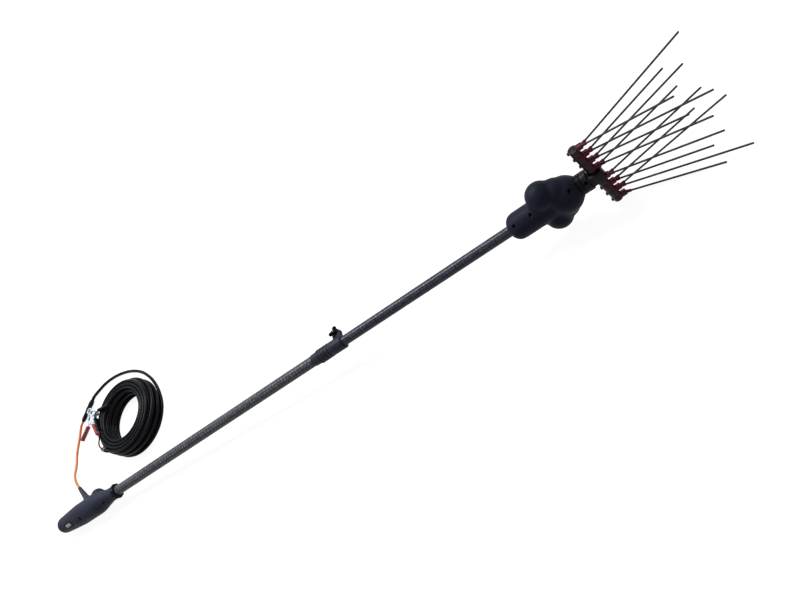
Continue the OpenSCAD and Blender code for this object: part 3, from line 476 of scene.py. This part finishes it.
def coilSpot(turn):
    n = coil["layerTurns"]
    angle = coilAngle(turn)
    # it climbs a layer in the half turn where the spiral reverses
    layer = sum(eased((turn - k * n) * 2 + 0.5) for k in range(1, coil["layers"]))
    radius = coil["radius"] - coil["pitch"] * n + coil["pitch"] * abs(turn % (2 * n) - n)
    radius *= 1 + coil["oval"] * math.cos(2 * (angle - math.radians(coil["longDeg"])))
    swayX, swayY = [coil["sway"] * math.sin(math.radians(d * layer)) for d in coil["swayDeg"]]
    return Vector((coil["middle"][0] + radius * math.cos(angle) + swayX,
                   coil["middle"][1] + radius * math.sin(angle) + swayY,
                   coil["floor"] + coil["rise"] * layer)) * mm


tailFrom = plug["from"] + plugWay * plug["length"] * 2  # past the plug and the socket, which is as long
coilRoute = [coilSpot(k / coil["perTurn"]) for k in range(coilSteps + 1)]
endWay = coilWay(coilSteps / coil["perTurn"])
coilEnd = coilRoute[-1] + endWay * coil["diameter"] * mm
coilStart = coilRoute[0] - coilWay(0) * coil["diameter"] * mm
cableRoute = [tailFrom, tailFrom + plugWay * plug["leadOut"], *scaled(coil["loose"]), coilStart, *coilRoute,
              coilEnd]
mainCable = cordCurve("mainCable", cableRoute, coil["diameter"] * mm, finish["cable"], steps=3)
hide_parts("cable_tail", "cable_coil")

# The fixed half of a clamp lies to the right (side 1) or to the left (side -1) of its mouth
clamps = {
    "red": {"joint": "red_clamp_open", "turnDeg": -11, "side": 1, "finish": "redWire",
            "grip": "redGrip", "route": [
        (-983.5, 157.5, 62.4), (-992, 164, 58.8), (-999.5, 172, 52.2), (-1006, 181, 43.2), (-1012, 191, 33),
        (-1018, 202, 23), (-1025, 213.5, 14.5), (-1033, 225, 8.6), (-1042, 236, 5.4), (-1051, 245.5, 5),
        (-1060, 253.5, 6.7)]},
    "black": {"joint": "black_clamp_open", "turnDeg": 50, "side": -1, "finish": "cable",
              "grip": "black", "route": [
        (-979.5, 162, 64.6), (-985, 168.5, 66.8), (-987.5, 176.5, 69.4), (-986.5, 185, 71.6),
        (-982.5, 193, 73.2), (-977.5, 200.5, 74.8), (-973.3, 208.5, 76.8)]},
}
clampShape = {"legX": 7.5, "gripOff": 16, "gripLength": 52, "spreadDeg": 34, "width": 18, "crimp": 26}
wire = {"diameter": 5 * mm, "apart": 2.8 * mm, "leadOut": 8 * mm, "leadIn": 10 * mm}
splitterLength = 30 * mm
splitEnd = coilEnd + endWay * splitterLength
splitSide = Vector((-endWay.y, endWay.x, 0))
for tone, clamp in clamps.items():
    turn = math.radians(clamp["turnDeg"])
    side = clamp["side"]
    gripAngle = turn - math.pi / 2 + side * math.radians(clampShape["spreadDeg"])
    gripWay = Vector((math.cos(gripAngle), math.sin(gripAngle), 0))
    clamp["pivot"] = Vector(joints[clamp["joint"]]["pos_m"])
    legSpot = Vector((math.cos(turn), math.sin(turn), 0)) * side * clampShape["legX"]
    legSpot.z = clampShape["width"] / 2
    stop = clamp["pivot"] + (legSpot + gripWay * (clampShape["gripOff"] + clampShape["gripLength"])) * mm
    start = splitEnd + splitSide * side * wire["apart"]
    clamp["path"] = [start, start + endWay * wire["leadOut"], *scaled(clamp["route"]),
                     stop + gripWay * wire["leadIn"], stop,
                     stop - gripWay * clampShape["crimp"] * mm]  # the wire is crimped inside the grip
    sheath = finish[clamp["finish"]]
    clamp["wire"] = cordCurve(tone + "Wire", clamp["path"], wire["diameter"], sheath, steps=6)
    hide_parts(tone + "_wire")
print("cords laid:", round(routeLength(cableRoute), 2), "m of cable")


# Mesh helpers: pieces are shaped in a local frame in millimetres, then set in place
def spinProfile(shape, profile, steps=64):
    weld = 0.01
    line = [shape.verts.new((x, 0, r)) for x, r in profile]
    edges = [shape.edges.new(pair) for pair in zip(line, line[1:])]
    bmesh.ops.spin(shape, geom=line + edges, cent=(0, 0, 0), axis=(1, 0, 0), dvec=(0, 0, 0),
                   angle=2 * math.pi, steps=steps, use_merge=True, use_duplicate=False)
    bmesh.ops.remove_doubles(shape, verts=shape.verts, dist=weld)


def arcLine(middle, radius, fromDeg, toDeg, steps):
    angles = [math.radians(fromDeg + (toDeg - fromDeg) * k / steps) for k in range(steps + 1)]
    return [(middle + radius * math.cos(a), radius * math.sin(a)) for a in angles]


def roundEdges(shape, width, segments, limitDeg=30):
    limit = math.radians(limitDeg)
    sharp = [e for e in shape.edges if len(e.link_faces) == 2 and e.calc_face_angle(0) > limit]
    bmesh.ops.bevel(shape, geom=sharp, offset=width, offset_type="OFFSET", segments=segments, profile=0.5,
                    affect="EDGES", clamp_overlap=True, material=-1)


def toMesh(name, shape, place=None):
    bmesh.ops.recalc_face_normals(shape, faces=shape.faces)
    if place is not None:
        bmesh.ops.transform(shape, matrix=place @ Matrix.Scale(mm, 4), verts=shape.verts)
    mesh = bpy.data.meshes.new(name)
    shape.to_mesh(mesh)
    shape.free()
    return mesh


# A piece of the scene that stands for a node, with its finish in the mesh's slot, hiding the node and, when
# it rides, on the node's body
def addPiece(name, mesh, material, node, smoothDeg=35, rides=True):
    mesh.materials.clear()
    mesh.materials.append(material)
    mesh.polygons.foreach_set("use_smooth", [True] * len(mesh.polygons))
    mesh.set_sharp_from_angle(angle=math.radians(smoothDeg))
    piece = bpy.data.objects.new(name, mesh)
    bpy.context.scene.collection.objects.link(piece)
    if rides:
        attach(piece, nodes[node]["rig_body"])
    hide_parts(node)
    return piece


# A solid's own shape with its edges rounded
def softCopy(node, material, width, segments):
    weld, flatDeg = 1e-6, 1
    shape = bmesh.new()
    shape.from_mesh(nodes[node].data)
    bmesh.ops.remove_doubles(shape, verts=shape.verts, dist=weld)
    bmesh.ops.dissolve_limit(shape, angle_limit=math.radians(flatDeg), verts=shape.verts, edges=shape.edges)
    roundEdges(shape, width * mm, segments)
    return addPiece(node + "Soft", toMesh(node + "Soft", shape), material, node)


def evaluated(name, mesh, modifiers):
    draft = bpy.data.objects.new(name + "Draft", mesh)
    bpy.context.scene.collection.objects.link(draft)
    for kind, values in modifiers:
        modifier = draft.modifiers.new(kind.lower(), kind)
        for key, value in values.items():
            setattr(modifier, key, value)
    bpy.context.view_layer.update()
    graph = bpy.context.evaluated_depsgraph_get()
    result = bpy.data.meshes.new_from_object(draft.evaluated_get(graph))
    bpy.data.objects.remove(draft)
    return result


# Melts overlapping closed shapes into one soft skin
def meltedSkin(name, shape, place, voxel, rounds):
    return evaluated(name, toMesh(name + "Rough", shape, place), [
        ("REMESH", {"mode": "VOXEL", "voxel_size": voxel * mm}),
        ("SMOOTH", {"factor": 0.5, "iterations": rounds}),
    ])


def cutAway(name, mesh, toolMesh):
    tool = bpy.data.objects.new(name + "Cutter", toolMesh)
    bpy.context.scene.collection.objects.link(tool)
    cut = evaluated(name, mesh, [("BOOLEAN", {"operation": "DIFFERENCE", "solver": "EXACT", "object": tool})])
    bpy.data.objects.remove(tool)
    return cut


# A skin with a room inside, whose faces point into the room
def hollowed(name, skin, room):
    weld = 0.1 * mm
    shape = bmesh.new()
    shape.from_mesh(room)
    bmesh.ops.remove_doubles(shape, verts=shape.verts, dist=weld)
    bmesh.ops.dissolve_degenerate(shape, dist=weld, edges=shape.edges)
    bmesh.ops.reverse_faces(shape, faces=shape.faces)
    shape.from_mesh(skin)
    mesh = bpy.data.meshes.new(name)
    shape.to_mesh(mesh)
    shape.free()
    return mesh


# The half of a skin above or below its middle plane, closed where it is cut
def halfShell(name, skin, place, side, seam):
    weld = 0.02 * mm
    shape = bmesh.new()
    shape.from_mesh(skin)
    bmesh.ops.dissolve_degenerate(shape, dist=weld, edges=shape.edges)
    up = place.to_3x3().col[2] * side
    cut = bmesh.ops.bisect_plane(shape, geom=shape.verts[:] + shape.edges[:] + shape.faces[:], dist=1e-7,
                                 plane_co=place.translation + up * seam * mm, plane_no=up, clear_inner=True)
    rim = [e for e in cut["geom_cut"] if isinstance(e, bmesh.types.BMEdge)]
    bmesh.ops.remove_doubles(shape, verts=list({v for e in rim for v in e.verts}), dist=weld)
    openEdges = [e for e in shape.edges if e.is_boundary]
    bmesh.ops.triangle_fill(shape, edges=openEdges, use_beauty=True, normal=up)
    return toMesh(name, shape)


def pocket(shape, x, y, radius, fromZ, toZ):
    bmesh.ops.create_cone(shape, cap_ends=True, segments=32, radius1=radius, radius2=radius,
                          depth=toZ - fromZ, matrix=Matrix.Translation((x, y, (fromZ + toZ) / 2)))


# Head: motor neck, two gear lobes and the front bulb, melted together
head = {
    "back": -272, "neck": 36.6, "round": 27, "lobeX": -152, "lobeY": 42, "lobe": 38.2, "bulbX": -108,
    "bulb": 48.8, "bulbEndDeg": 40, "nose": (-64, 27), "web": (-122, 24, 38), "voxel": 2.4, "melt": 34,
    "seam": 0.25, "screws": [(-246, 26.5), (-196, 27.5), (-84, 29)], "seat": 7, "pocket": 4.4, "through": 80,
    "wall": 4.2, "post": 6.5, "roomBack": -224, "roomMelt": 4,
    "bores": [[(-290, 14.55), (-230, 14.55), (-230, 8), (-218, 8)], [(-84, 16.05), (-40, 16.05)]],
}


def headForm(inset, rearLine):
    form = bmesh.new()
    neck, bulb = head["neck"] - inset, head["bulb"] - inset
    neckMeetsDeg = math.degrees(math.asin(neck / bulb))
    bulbLine = arcLine(head["bulbX"], bulb, 180 - neckMeetsDeg, head["bulbEndDeg"], steps=20)
    noseX, noseR = head["nose"][0] - inset, head["nose"][1] - inset
    spinProfile(form, [*rearLine, *bulbLine, (noseX, noseR), (noseX, 0)])
    lobe = (head["lobeX"], head["lobeY"], head["lobe"])
    for side in (-1, 1):
        for x, y, radius in (lobe, head["web"]):  # the web fills the crease between lobe and bulb
            bmesh.ops.create_uvsphere(form, u_segments=48, v_segments=32, radius=radius - inset,
                                      matrix=Matrix.Translation((x, side * y, 0)))
    return form


neckAngles = [math.radians(a) for a in range(0, 91, 9)]
neckLine = [(head["back"], 0)]
neckLine += [(head["back"] + head["round"] - head["round"] * math.cos(a),
              head["neck"] - head["round"] + head["round"] * math.sin(a)) for a in neckAngles]
roomLine = [(head["roomBack"], 0), (head["roomBack"], head["neck"] - head["wall"])]
headSkin = meltedSkin("head", headForm(0, neckLine), headPlace, head["voxel"], head["melt"])
headRoom = meltedSkin("headRoom", headForm(head["wall"], roomLine), headPlace, head["voxel"],
                      head["roomMelt"])
posts, cutters = bmesh.new(), bmesh.new()
for x, y in head["screws"]:
    for side in (-1, 1):
        pocket(posts, x, side * y, head["post"], -head["through"], head["through"])
        pocket(cutters, x, side * y, head["pocket"], head["seat"], head["through"])
for line in head["bores"]:
    spinProfile(cutters, [(line[0][0], 0), *line, (line[-1][0], 0)])
headRoom = cutAway("headRoom", headRoom, toMesh("headPosts", posts, headPlace))
headSkin = cutAway("head", hollowed("head", headSkin, headRoom), toMesh("headCutters", cutters, headPlace))
for name, node, side in (("housingTop", "housing_top", 1), ("housingBottom", "housing_bottom", -1)):
    addPiece(name, halfShell(name, headSkin, headPlace, side, head["seam"]), finish["housing"], node,
             smoothDeg=40)
print("head housing melted")

# Handle: grip, belly and tail, with the bump and the boot's boss
handle = {
    "outline": [(-1895, 22.5), (-1926, 23), (-1955, 29), (-1987, 36), (-2000, 37), (-2088, 37)],
    "ball": (-2178, 29), "ballDeg": (95, 180), "bump": (-1989, 26, 24.6), "bossLength": 50, "bossWall": 3,
    "voxel": 2.2, "melt": 22, "seam": 0.2, "screws": [(-1943, 21.5), (-2065, 27)], "seat": 9, "pocket": 4.4,
    "through": 80, "switchX": -2130, "switchOut": 33.3, "switchUpDeg": 42, "window": (24, 12.4, 24),
}
switchTurn = Matrix.Rotation(math.radians(90 - handle["switchUpDeg"]), 4, "X")
switchOut = Matrix.Translation((0, 0, handle["switchOut"]))
switchSeat = Matrix.Translation((handle["switchX"], 0, 0)) @ switchTurn @ switchOut
bootTurn = bootWay.to_track_quat("Z", "X").to_matrix().to_4x4()
bootLine = Matrix.Translation((boot["station"], 0, 0)) @ bootTurn
shape = bmesh.new()
tailLine = arcLine(*handle["ball"], *handle["ballDeg"], steps=16)
spinProfile(shape, [(handle["outline"][0][0], 0), *handle["outline"], *tailLine])
bumpX, bumpY, bumpRadius = handle["bump"]
bmesh.ops.create_uvsphere(shape, u_segments=32, v_segments=24, radius=bumpRadius,
                          matrix=Matrix.Translation((bumpX, bumpY, 0)))
bossRadius = boot["radius"] + handle["bossWall"]
bossMiddle = Matrix.Translation((0, 0, handle["bossLength"] / 2))
bmesh.ops.create_cone(shape, cap_ends=True, segments=48, radius1=bossRadius, radius2=bossRadius,
                      depth=handle["bossLength"], matrix=bootLine @ bossMiddle)
cutters = bmesh.new()
for x, y in handle["screws"]:
    for side in (-1, 1):
        pocket(cutters, x, side * y, handle["pocket"], handle["seat"], handle["through"])
bmesh.ops.create_cube(cutters, size=1, matrix=switchSeat @ Matrix.Diagonal((*handle["window"], 1)))
handleSkin = cutAway("handle", meltedSkin("handle", shape, polePlace, handle["voxel"], handle["melt"]),
                     toMesh("handleCutters", cutters, polePlace))
for name, node, side in (("handleTop", "handle_top", 1), ("handleBottom", "handle_bottom", -1)):
    addPiece(name, halfShell(name, handleSkin, polePlace, side, handle["seam"]), finish["handle"], node,
             smoothDeg=40)
print("handle melted")

# Ring at the front of the handle, with a wavy rim
ring = {
    "back": -1895, "front": -1885, "bore": 16.5, "radius": 26, "backBevel": 1.2, "backRim": 24.4, "slope": 3,
    "step": 0.8, "stepRim": 23.4, "frontRim": 21.5, "waves": 10, "depth": 1.2, "wavesFrom": 22,
}
shape = bmesh.new()
spinProfile(shape, [
    (ring["back"], ring["bore"]), (ring["back"], ring["backRim"]),
    (ring["back"] + ring["backBevel"], ring["radius"]), (ring["front"] - ring["slope"], ring["radius"]),
    (ring["front"] - ring["step"], ring["stepRim"]), (ring["front"], ring["frontRim"]),
    (ring["front"], ring["bore"]), (ring["back"], ring["bore"]),
], steps=120)
for v in shape.verts:
    reach = math.hypot(v.co.y, v.co.z)
    if reach > ring["wavesFrom"]:
        dip = ring["depth"] * (0.5 - 0.5 * math.cos(ring["waves"] * math.atan2(v.co.z, v.co.y)))
        v.co.yz = [c * (reach - dip) / reach for c in (v.co.y, v.co.z)]
addPiece("handleRing", toMesh("handleRing", shape, polePlace), finish["black"], "handle_ring", smoothDeg=50)

# Boot: a tapered strain relief with ribs
ribs = {"count": 9, "margin": 4, "radius": 10.5, "taper": 4.4, "foot": 2.4, "crest": 1.7, "depth": 0.9}
bootBevel, bootTip = 1, 5.9
baseFrom, baseTo = boot["base"]
bootProfile = [(baseFrom, 0), (baseFrom, boot["radius"]), (baseTo - bootBevel, boot["radius"]),
               (baseTo, boot["radius"] - bootBevel)]
ribFrom, ribTo = baseTo + ribs["margin"], boot["end"] - ribs["margin"]
for k in range(ribs["count"]):
    x = ribFrom + (ribTo - ribFrom) * k / (ribs["count"] - 1)
    r = ribs["radius"] - ribs["taper"] * (x - baseTo) / (boot["end"] - baseTo)
    bootProfile += [(x - ribs["foot"], r - ribs["depth"]), (x - ribs["crest"], r), (x + ribs["crest"], r),
                    (x + ribs["foot"], r - ribs["depth"])]
shape = bmesh.new()
spinProfile(shape, [*bootProfile, (boot["end"], bootTip), (boot["end"], 0)], steps=48)
bootAxis = bootLine @ Matrix.Rotation(-math.pi / 2, 4, "Y")  # the spin's X runs along the boot
bootPlace = polePlace @ Matrix.Scale(mm, 4) @ bootAxis @ Matrix.Scale(1 / mm, 4)
addPiece("cableBoot", toMesh("cableBoot", shape, bootPlace), finish["boot"], "cable_boot", smoothDeg=30)
print("handle fittings made")


# Screws with a hexagon socket; each stands along the Z of its place, its head seated at zero
def capScrew(shape, place, cap, height, shank, length, key):
    bevel, slack = 0.5, 0.1
    socketFloor = height * 0.35
    hexTurn = math.pi / 3
    others = set(shape.verts)
    spinProfile(shape, [
        (-length, 0), (-length, shank), (0, shank), (0, cap), (height - bevel, cap), (height, cap - bevel),
        (height, key), (socketFloor, key), (socketFloor, 0),
    ], steps=24)
    screw = [v for v in shape.verts if v not in others]
    for v in screw:
        reach = math.hypot(v.co.y, v.co.z)
        if v.co.x > 0 and slack < reach < key + slack:  # the round socket is drawn in to a hexagon
            turn = math.atan2(v.co.z, v.co.y) % hexTurn - hexTurn / 2
            v.co.yz = [c * math.cos(hexTurn / 2) / math.cos(turn) for c in (v.co.y, v.co.z)]
    bmesh.ops.transform(shape, matrix=place @ Matrix.Rotation(-math.pi / 2, 4, "Y"), verts=screw)


sideward = Matrix.Rotation(math.pi / 2, 4, "X")  # Z turned to the tool's -Y
backward = Matrix.Rotation(-math.pi / 2, 4, "Y")  # Z turned to the tool's -X
hubBolts = [(-44, -12, s * 14) for s in (-1, 1)]
holders = {"perSide": 4, "first": 21, "pitch": 26.5, "boltX": -29.5}
holderZ = [s * (holders["first"] + holders["pitch"] * k) for k in range(holders["perSide"]) for s in (-1, 1)]
screws = {
    "housing_screws": {
        "place": headPlace, "finish": "steel",
        "size": {"cap": 3.7, "height": 2.5, "shank": 1.75, "length": 14, "key": 2.0},
        "at": [Matrix.Translation((x, s * y, head["seat"])) for x, y in head["screws"] for s in (-1, 1)]},
    "handle_screws": {
        "place": polePlace, "finish": "blackSteel",
        "size": {"cap": 3.7, "height": 2.5, "shank": 1.75, "length": 18, "key": 2.0},
        "at": [Matrix.Translation((x, s * y, handle["seat"])) for x, y in handle["screws"] for s in (-1, 1)]},
    "hub_bolts": {
        "place": toolPlace, "finish": "blackSteel",
        "size": {"cap": 4.2, "height": 4.5, "shank": 2.5, "length": 20, "key": 2.4},
        "at": [Matrix.Translation(spot) @ sideward for spot in hubBolts]},
    "holder_bolts": {
        "place": toolPlace, "finish": "blackSteel",
        "size": {"cap": 4.5, "height": 5.0, "shank": 2.5, "length": 24.5, "key": 2.5},
        "at": [Matrix.Translation((holders["boltX"], 0, z)) @ backward for z in holderZ]},
}
for node, screw in screws.items():
    shape = bmesh.new()
    for at in screw["at"]:
        capScrew(shape, at, **screw["size"])
    addPiece(node + "Cap", toMesh(node + "Cap", shape, screw["place"]), finish[screw["finish"]], node,
             smoothDeg=30)
print("screws set:", sum(len(screw["at"]) for screw in screws.values()))

# Dipped grips of the battery clamps: a ribbed sleeve over each leg, by sections (y, half width, half height)
grip = {
    "nose": [(-10.5, 0.8, 5.2), (-11.4, 2.8, 6.6), (-13.2, 4.5, 7.5), (-16, 5.5, 8)],
    "ribs": 9, "ribFrom": -20, "pitch": 4.6, "crest": (5.5, 8), "groove": (4.8, 7.4),
    "grooveAt": (0.9, 1.9, 2.8), "tail": [(-65, 5.4, 7.9), (-67, 4.5, 7.1), (-68, 3.0, 5.6)],
    "squareness": 0.7,
}
gripSections = list(grip["nose"])
grooveFrom, grooveTo, nextCrest = grip["grooveAt"]
for k in range(grip["ribs"]):
    y = grip["ribFrom"] - grip["pitch"] * k
    gripSections += [(y, *grip["crest"]), (y - grooveFrom, *grip["groove"]), (y - grooveTo, *grip["groove"]),
                     (y - nextCrest, *grip["crest"])]
gripSections += grip["tail"]


def squared(share):
    return math.copysign(abs(share) ** grip["squareness"], share)


def gripSleeve(shape, mirrored):
    leg = Matrix.Translation((clampShape["legX"], 0, clampShape["width"] / 2))
    splay = leg @ Matrix.Rotation(math.radians(clampShape["spreadDeg"]), 4, "Z")
    circles = [(y, 1) for y, wide, high in gripSections]
    spinProfile(shape, [(circles[0][0], 0), *circles, (circles[-1][0], 0)], steps=24)
    for v in shape.verts:
        y, wide, high = min(gripSections, key=lambda section: abs(section[0] - v.co.x))
        spot = splay @ Vector((wide * squared(v.co.y), y, high * squared(v.co.z)))
        v.co = (-spot.x if mirrored else spot.x, spot.y, spot.z)


for tone, clamp in clamps.items():
    clampPlace = Matrix.Translation(clamp["pivot"]) @ Matrix.Rotation(math.radians(clamp["turnDeg"]), 4, "Z")
    for part, mirrored in (("fixed", False), ("moving", True)):
        node = tone + "_grip_" + part
        shape = bmesh.new()
        gripSleeve(shape, mirrored != (clamp["side"] < 0))
        addPiece(node + "Soft", toMesh(node + "Soft", shape, clampPlace), finish[clamp["grip"]], node,
                 smoothDeg=40)

# Connector between the lead and the cable: a ribbed plug in a collared socket
connector = {
    "plugNose": [(0, 0), (0, 5.6), (1, 6), (11.4, 7.9), (12, 8)], "plugEnd": [(41.4, 8), (42, 7.4), (42, 0)],
    "grooves": 6, "grooveFrom": 15, "pitch": 3.8, "groove": [(0, 8), (0.5, 7.2), (1.6, 7.2), (2.1, 8)],
    "socket": [(42, 0), (42, 8.4), (42.6, 9), (53, 9), (53.8, 8.3), (66, 8.3), (66.8, 9), (72, 9), (83, 6.9),
               (84, 6.4), (84, 0)],
}
plugProfile = list(connector["plugNose"])
for k in range(connector["grooves"]):
    x = connector["grooveFrom"] + connector["pitch"] * k
    plugProfile += [(x + dx, r) for dx, r in connector["groove"]]
plugProfile += connector["plugEnd"]
plugPlace = Matrix.Translation(plug["from"]) @ Matrix.Rotation(math.radians(plug["turnDeg"]), 4, "Z")
for node, profile in (("lead_plug", plugProfile), ("cable_socket", connector["socket"])):
    shape = bmesh.new()
    spinProfile(shape, profile, steps=48)
    addPiece(node + "Soft", toMesh(node + "Soft", shape, plugPlace), finish["black"], node, smoothDeg=40)
print("clamp grips and connector made")

# Spiral lead inside the pole, kept off the bodies
spiral = {"reach": 6, "wire": 3.2, "turns": 110, "perTurn": 12, "sides": 6}
stations = [(v.co - tineRoot).dot(alongPole) / mm for v in nodes["spiral_lead"].data.vertices]
rear, front = min(stations) + spiral["wire"], max(stations) - spiral["wire"]
reach = spiral["reach"] - spiral["wire"] / 2
steps = spiral["turns"] * spiral["perTurn"]
onward = Vector(((front - rear) / spiral["turns"] / (2 * math.pi), -reach, 0))
firstRing = Matrix.Translation((rear, 0, reach)) @ onward.to_track_quat("Z", "X").to_matrix().to_4x4()
shape = bmesh.new()
bmesh.ops.create_circle(shape, cap_ends=False, segments=spiral["sides"], radius=spiral["wire"] / 2,
                        matrix=firstRing)
bmesh.ops.spin(shape, geom=shape.verts[:] + shape.edges[:], cent=(0, 0, 0), axis=(1, 0, 0),
               dvec=((front - rear) / steps, 0, 0), angle=2 * math.pi * spiral["turns"], steps=steps,
               use_merge=False, use_duplicate=False)
bmesh.ops.holes_fill(shape, edges=[e for e in shape.edges if e.is_boundary], sides=0)
spiralLead = addPiece("spiralLead", toMesh("spiralLead", shape, polePlace), finish["cable"], "spiral_lead",
                      smoothDeg=60, rides=False)
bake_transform(spiralLead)

# Solids whose own shape is right: finish, width of the rounding in millimetres, segments
softNodes = {
    "switch_bezel": ("black", 0.8, 3), "rocker_switch": ("rocker", 0.6, 3),
    "clamp_sleeve": ("sleeve", 0.7, 3), "wing_nut": ("black", 0.6, 3), "nose_collar": ("black", 0.5, 2),
    "rake_hub": ("black", 0.9, 3), "bar_knobs": ("black", 0.8, 3), "cable_splitter": ("black", 0.6, 2),
    "red_jaw_fixed": ("zinc", 0.5, 2), "red_jaw_moving": ("zinc", 0.5, 2),
    "black_jaw_fixed": ("zinc", 0.5, 2), "black_jaw_moving": ("zinc", 0.5, 2),
    "clamp_rivets": ("zinc", 0.5, 2), "clamp_bolt": ("steel", 0.4, 2), "tine_holders": ("crimson", 0.6, 2),
}
for node, (tone, width, segments) in softNodes.items():
    softCopy(node, finish[tone], width, segments)

# Solids that keep their mesh and get a finish
plainNodes = {
    "lower_tube": "lowerTube", "upper_tube": "upperTube", "tines_a": "tine", "tines_b": "tine",
    "rake_bar": "maroon", "guide_bush": "nylon", "gearbox_plate": "alloy", "motor_can": "steel",
    "stub_axles": "steel", "output_bearings": "steel", "bearing_carrier": "alloy", "motor_rotor": "copper",
    "drive_pinion": "steel", "crank_gear_a": "nylon", "crank_gear_b": "nylon", "crank_pin_a": "steel",
    "crank_pin_b": "steel", "output_shaft": "steel", "yoke": "steel", "control_board": "board",
    "clamp_springs": "steel",
}
for node, tone in plainNodes.items():
    nodes[node].data.materials.clear()
    nodes[node].data.materials.append(finish[tone])
print("solids dressed")

# Stage: a white floor that keeps a soft shadow, and soft studio light
stage = {"floorSize": 30, "floorGrey": 0.22, "floorGlow": 0.92, "worldLight": 0.24, "worldSeen": 0.76}


# One where the camera sees a surface, directly or in a reflection, and none where it only lights another
def seenFactor(tree):
    path = tree.nodes.new("ShaderNodeLightPath")
    reflected = maths(tree, "MAXIMUM", path.outputs["Is Glossy Ray"], path.outputs["Is Transmission Ray"])
    return maths(tree, "MAXIMUM", path.outputs["Is Camera Ray"], reflected)


def floorFinish():
    material = bpy.data.materials.new("whiteFloor")
    material.use_nodes = True
    tree = material.node_tree
    tree.nodes.remove(tree.nodes["Principled BSDF"])
    diffuse = tree.nodes.new("ShaderNodeBsdfDiffuse")
    diffuse.inputs["Color"].default_value = (stage["floorGrey"], stage["floorGrey"], stage["floorGrey"], 1)
    glow = tree.nodes.new("ShaderNodeEmission")
    tree.links.new(maths(tree, "MULTIPLY", seenFactor(tree), stage["floorGlow"]), glow.inputs["Strength"])
    both = tree.nodes.new("ShaderNodeAddShader")
    tree.links.new(diffuse.outputs[0], both.inputs[0])
    tree.links.new(glow.outputs[0], both.inputs[1])
    tree.links.new(both.outputs[0], tree.nodes["Material Output"].inputs["Surface"])
    return material


floorShape = bmesh.new()
bmesh.ops.create_grid(floorShape, x_segments=1, y_segments=1, size=stage["floorSize"])
floorMesh = toMesh("floor", floorShape)
floorMesh.materials.append(floorFinish())
floor = bpy.data.objects.new("floor", floorMesh)
bpy.context.scene.collection.objects.link(floor)

world = bpy.data.worlds.new("studio")
bpy.context.scene.world = world
world.use_nodes = True
tree = world.node_tree
background = tree.nodes["Background"]
background.inputs["Color"].default_value = (1, 1, 1, 1)
worldStrength = maths(tree, "MULTIPLY_ADD", seenFactor(tree), stage["worldSeen"], stage["worldLight"])
tree.links.new(worldStrength, background.inputs["Strength"])

lamps = {
    "key": {"spot": (-0.6, 1.6, 2.6), "aim": (0.0, 0.0, 0.05), "size": (3.2, 0.5), "power": 150},
    "fill": {"spot": (1.6, -2.4, 2.2), "aim": (0.2, 0.0, 0.05), "size": (2.0, 1.2), "power": 6},
}
for name, lamp in lamps.items():
    light = bpy.data.lights.new(name, "AREA")
    light.shape = "RECTANGLE"
    light.size, light.size_y = lamp["size"]
    light.energy = lamp["power"]
    lightObject = bpy.data.objects.new(name, light)
    lightObject.location = lamp["spot"]
    aim = Vector(lamp["aim"]) - Vector(lamp["spot"])
    lightObject.rotation_euler = aim.to_track_quat("-Z", "Y").to_euler()
    bpy.context.scene.collection.objects.link(lightObject)
print("stage lit")
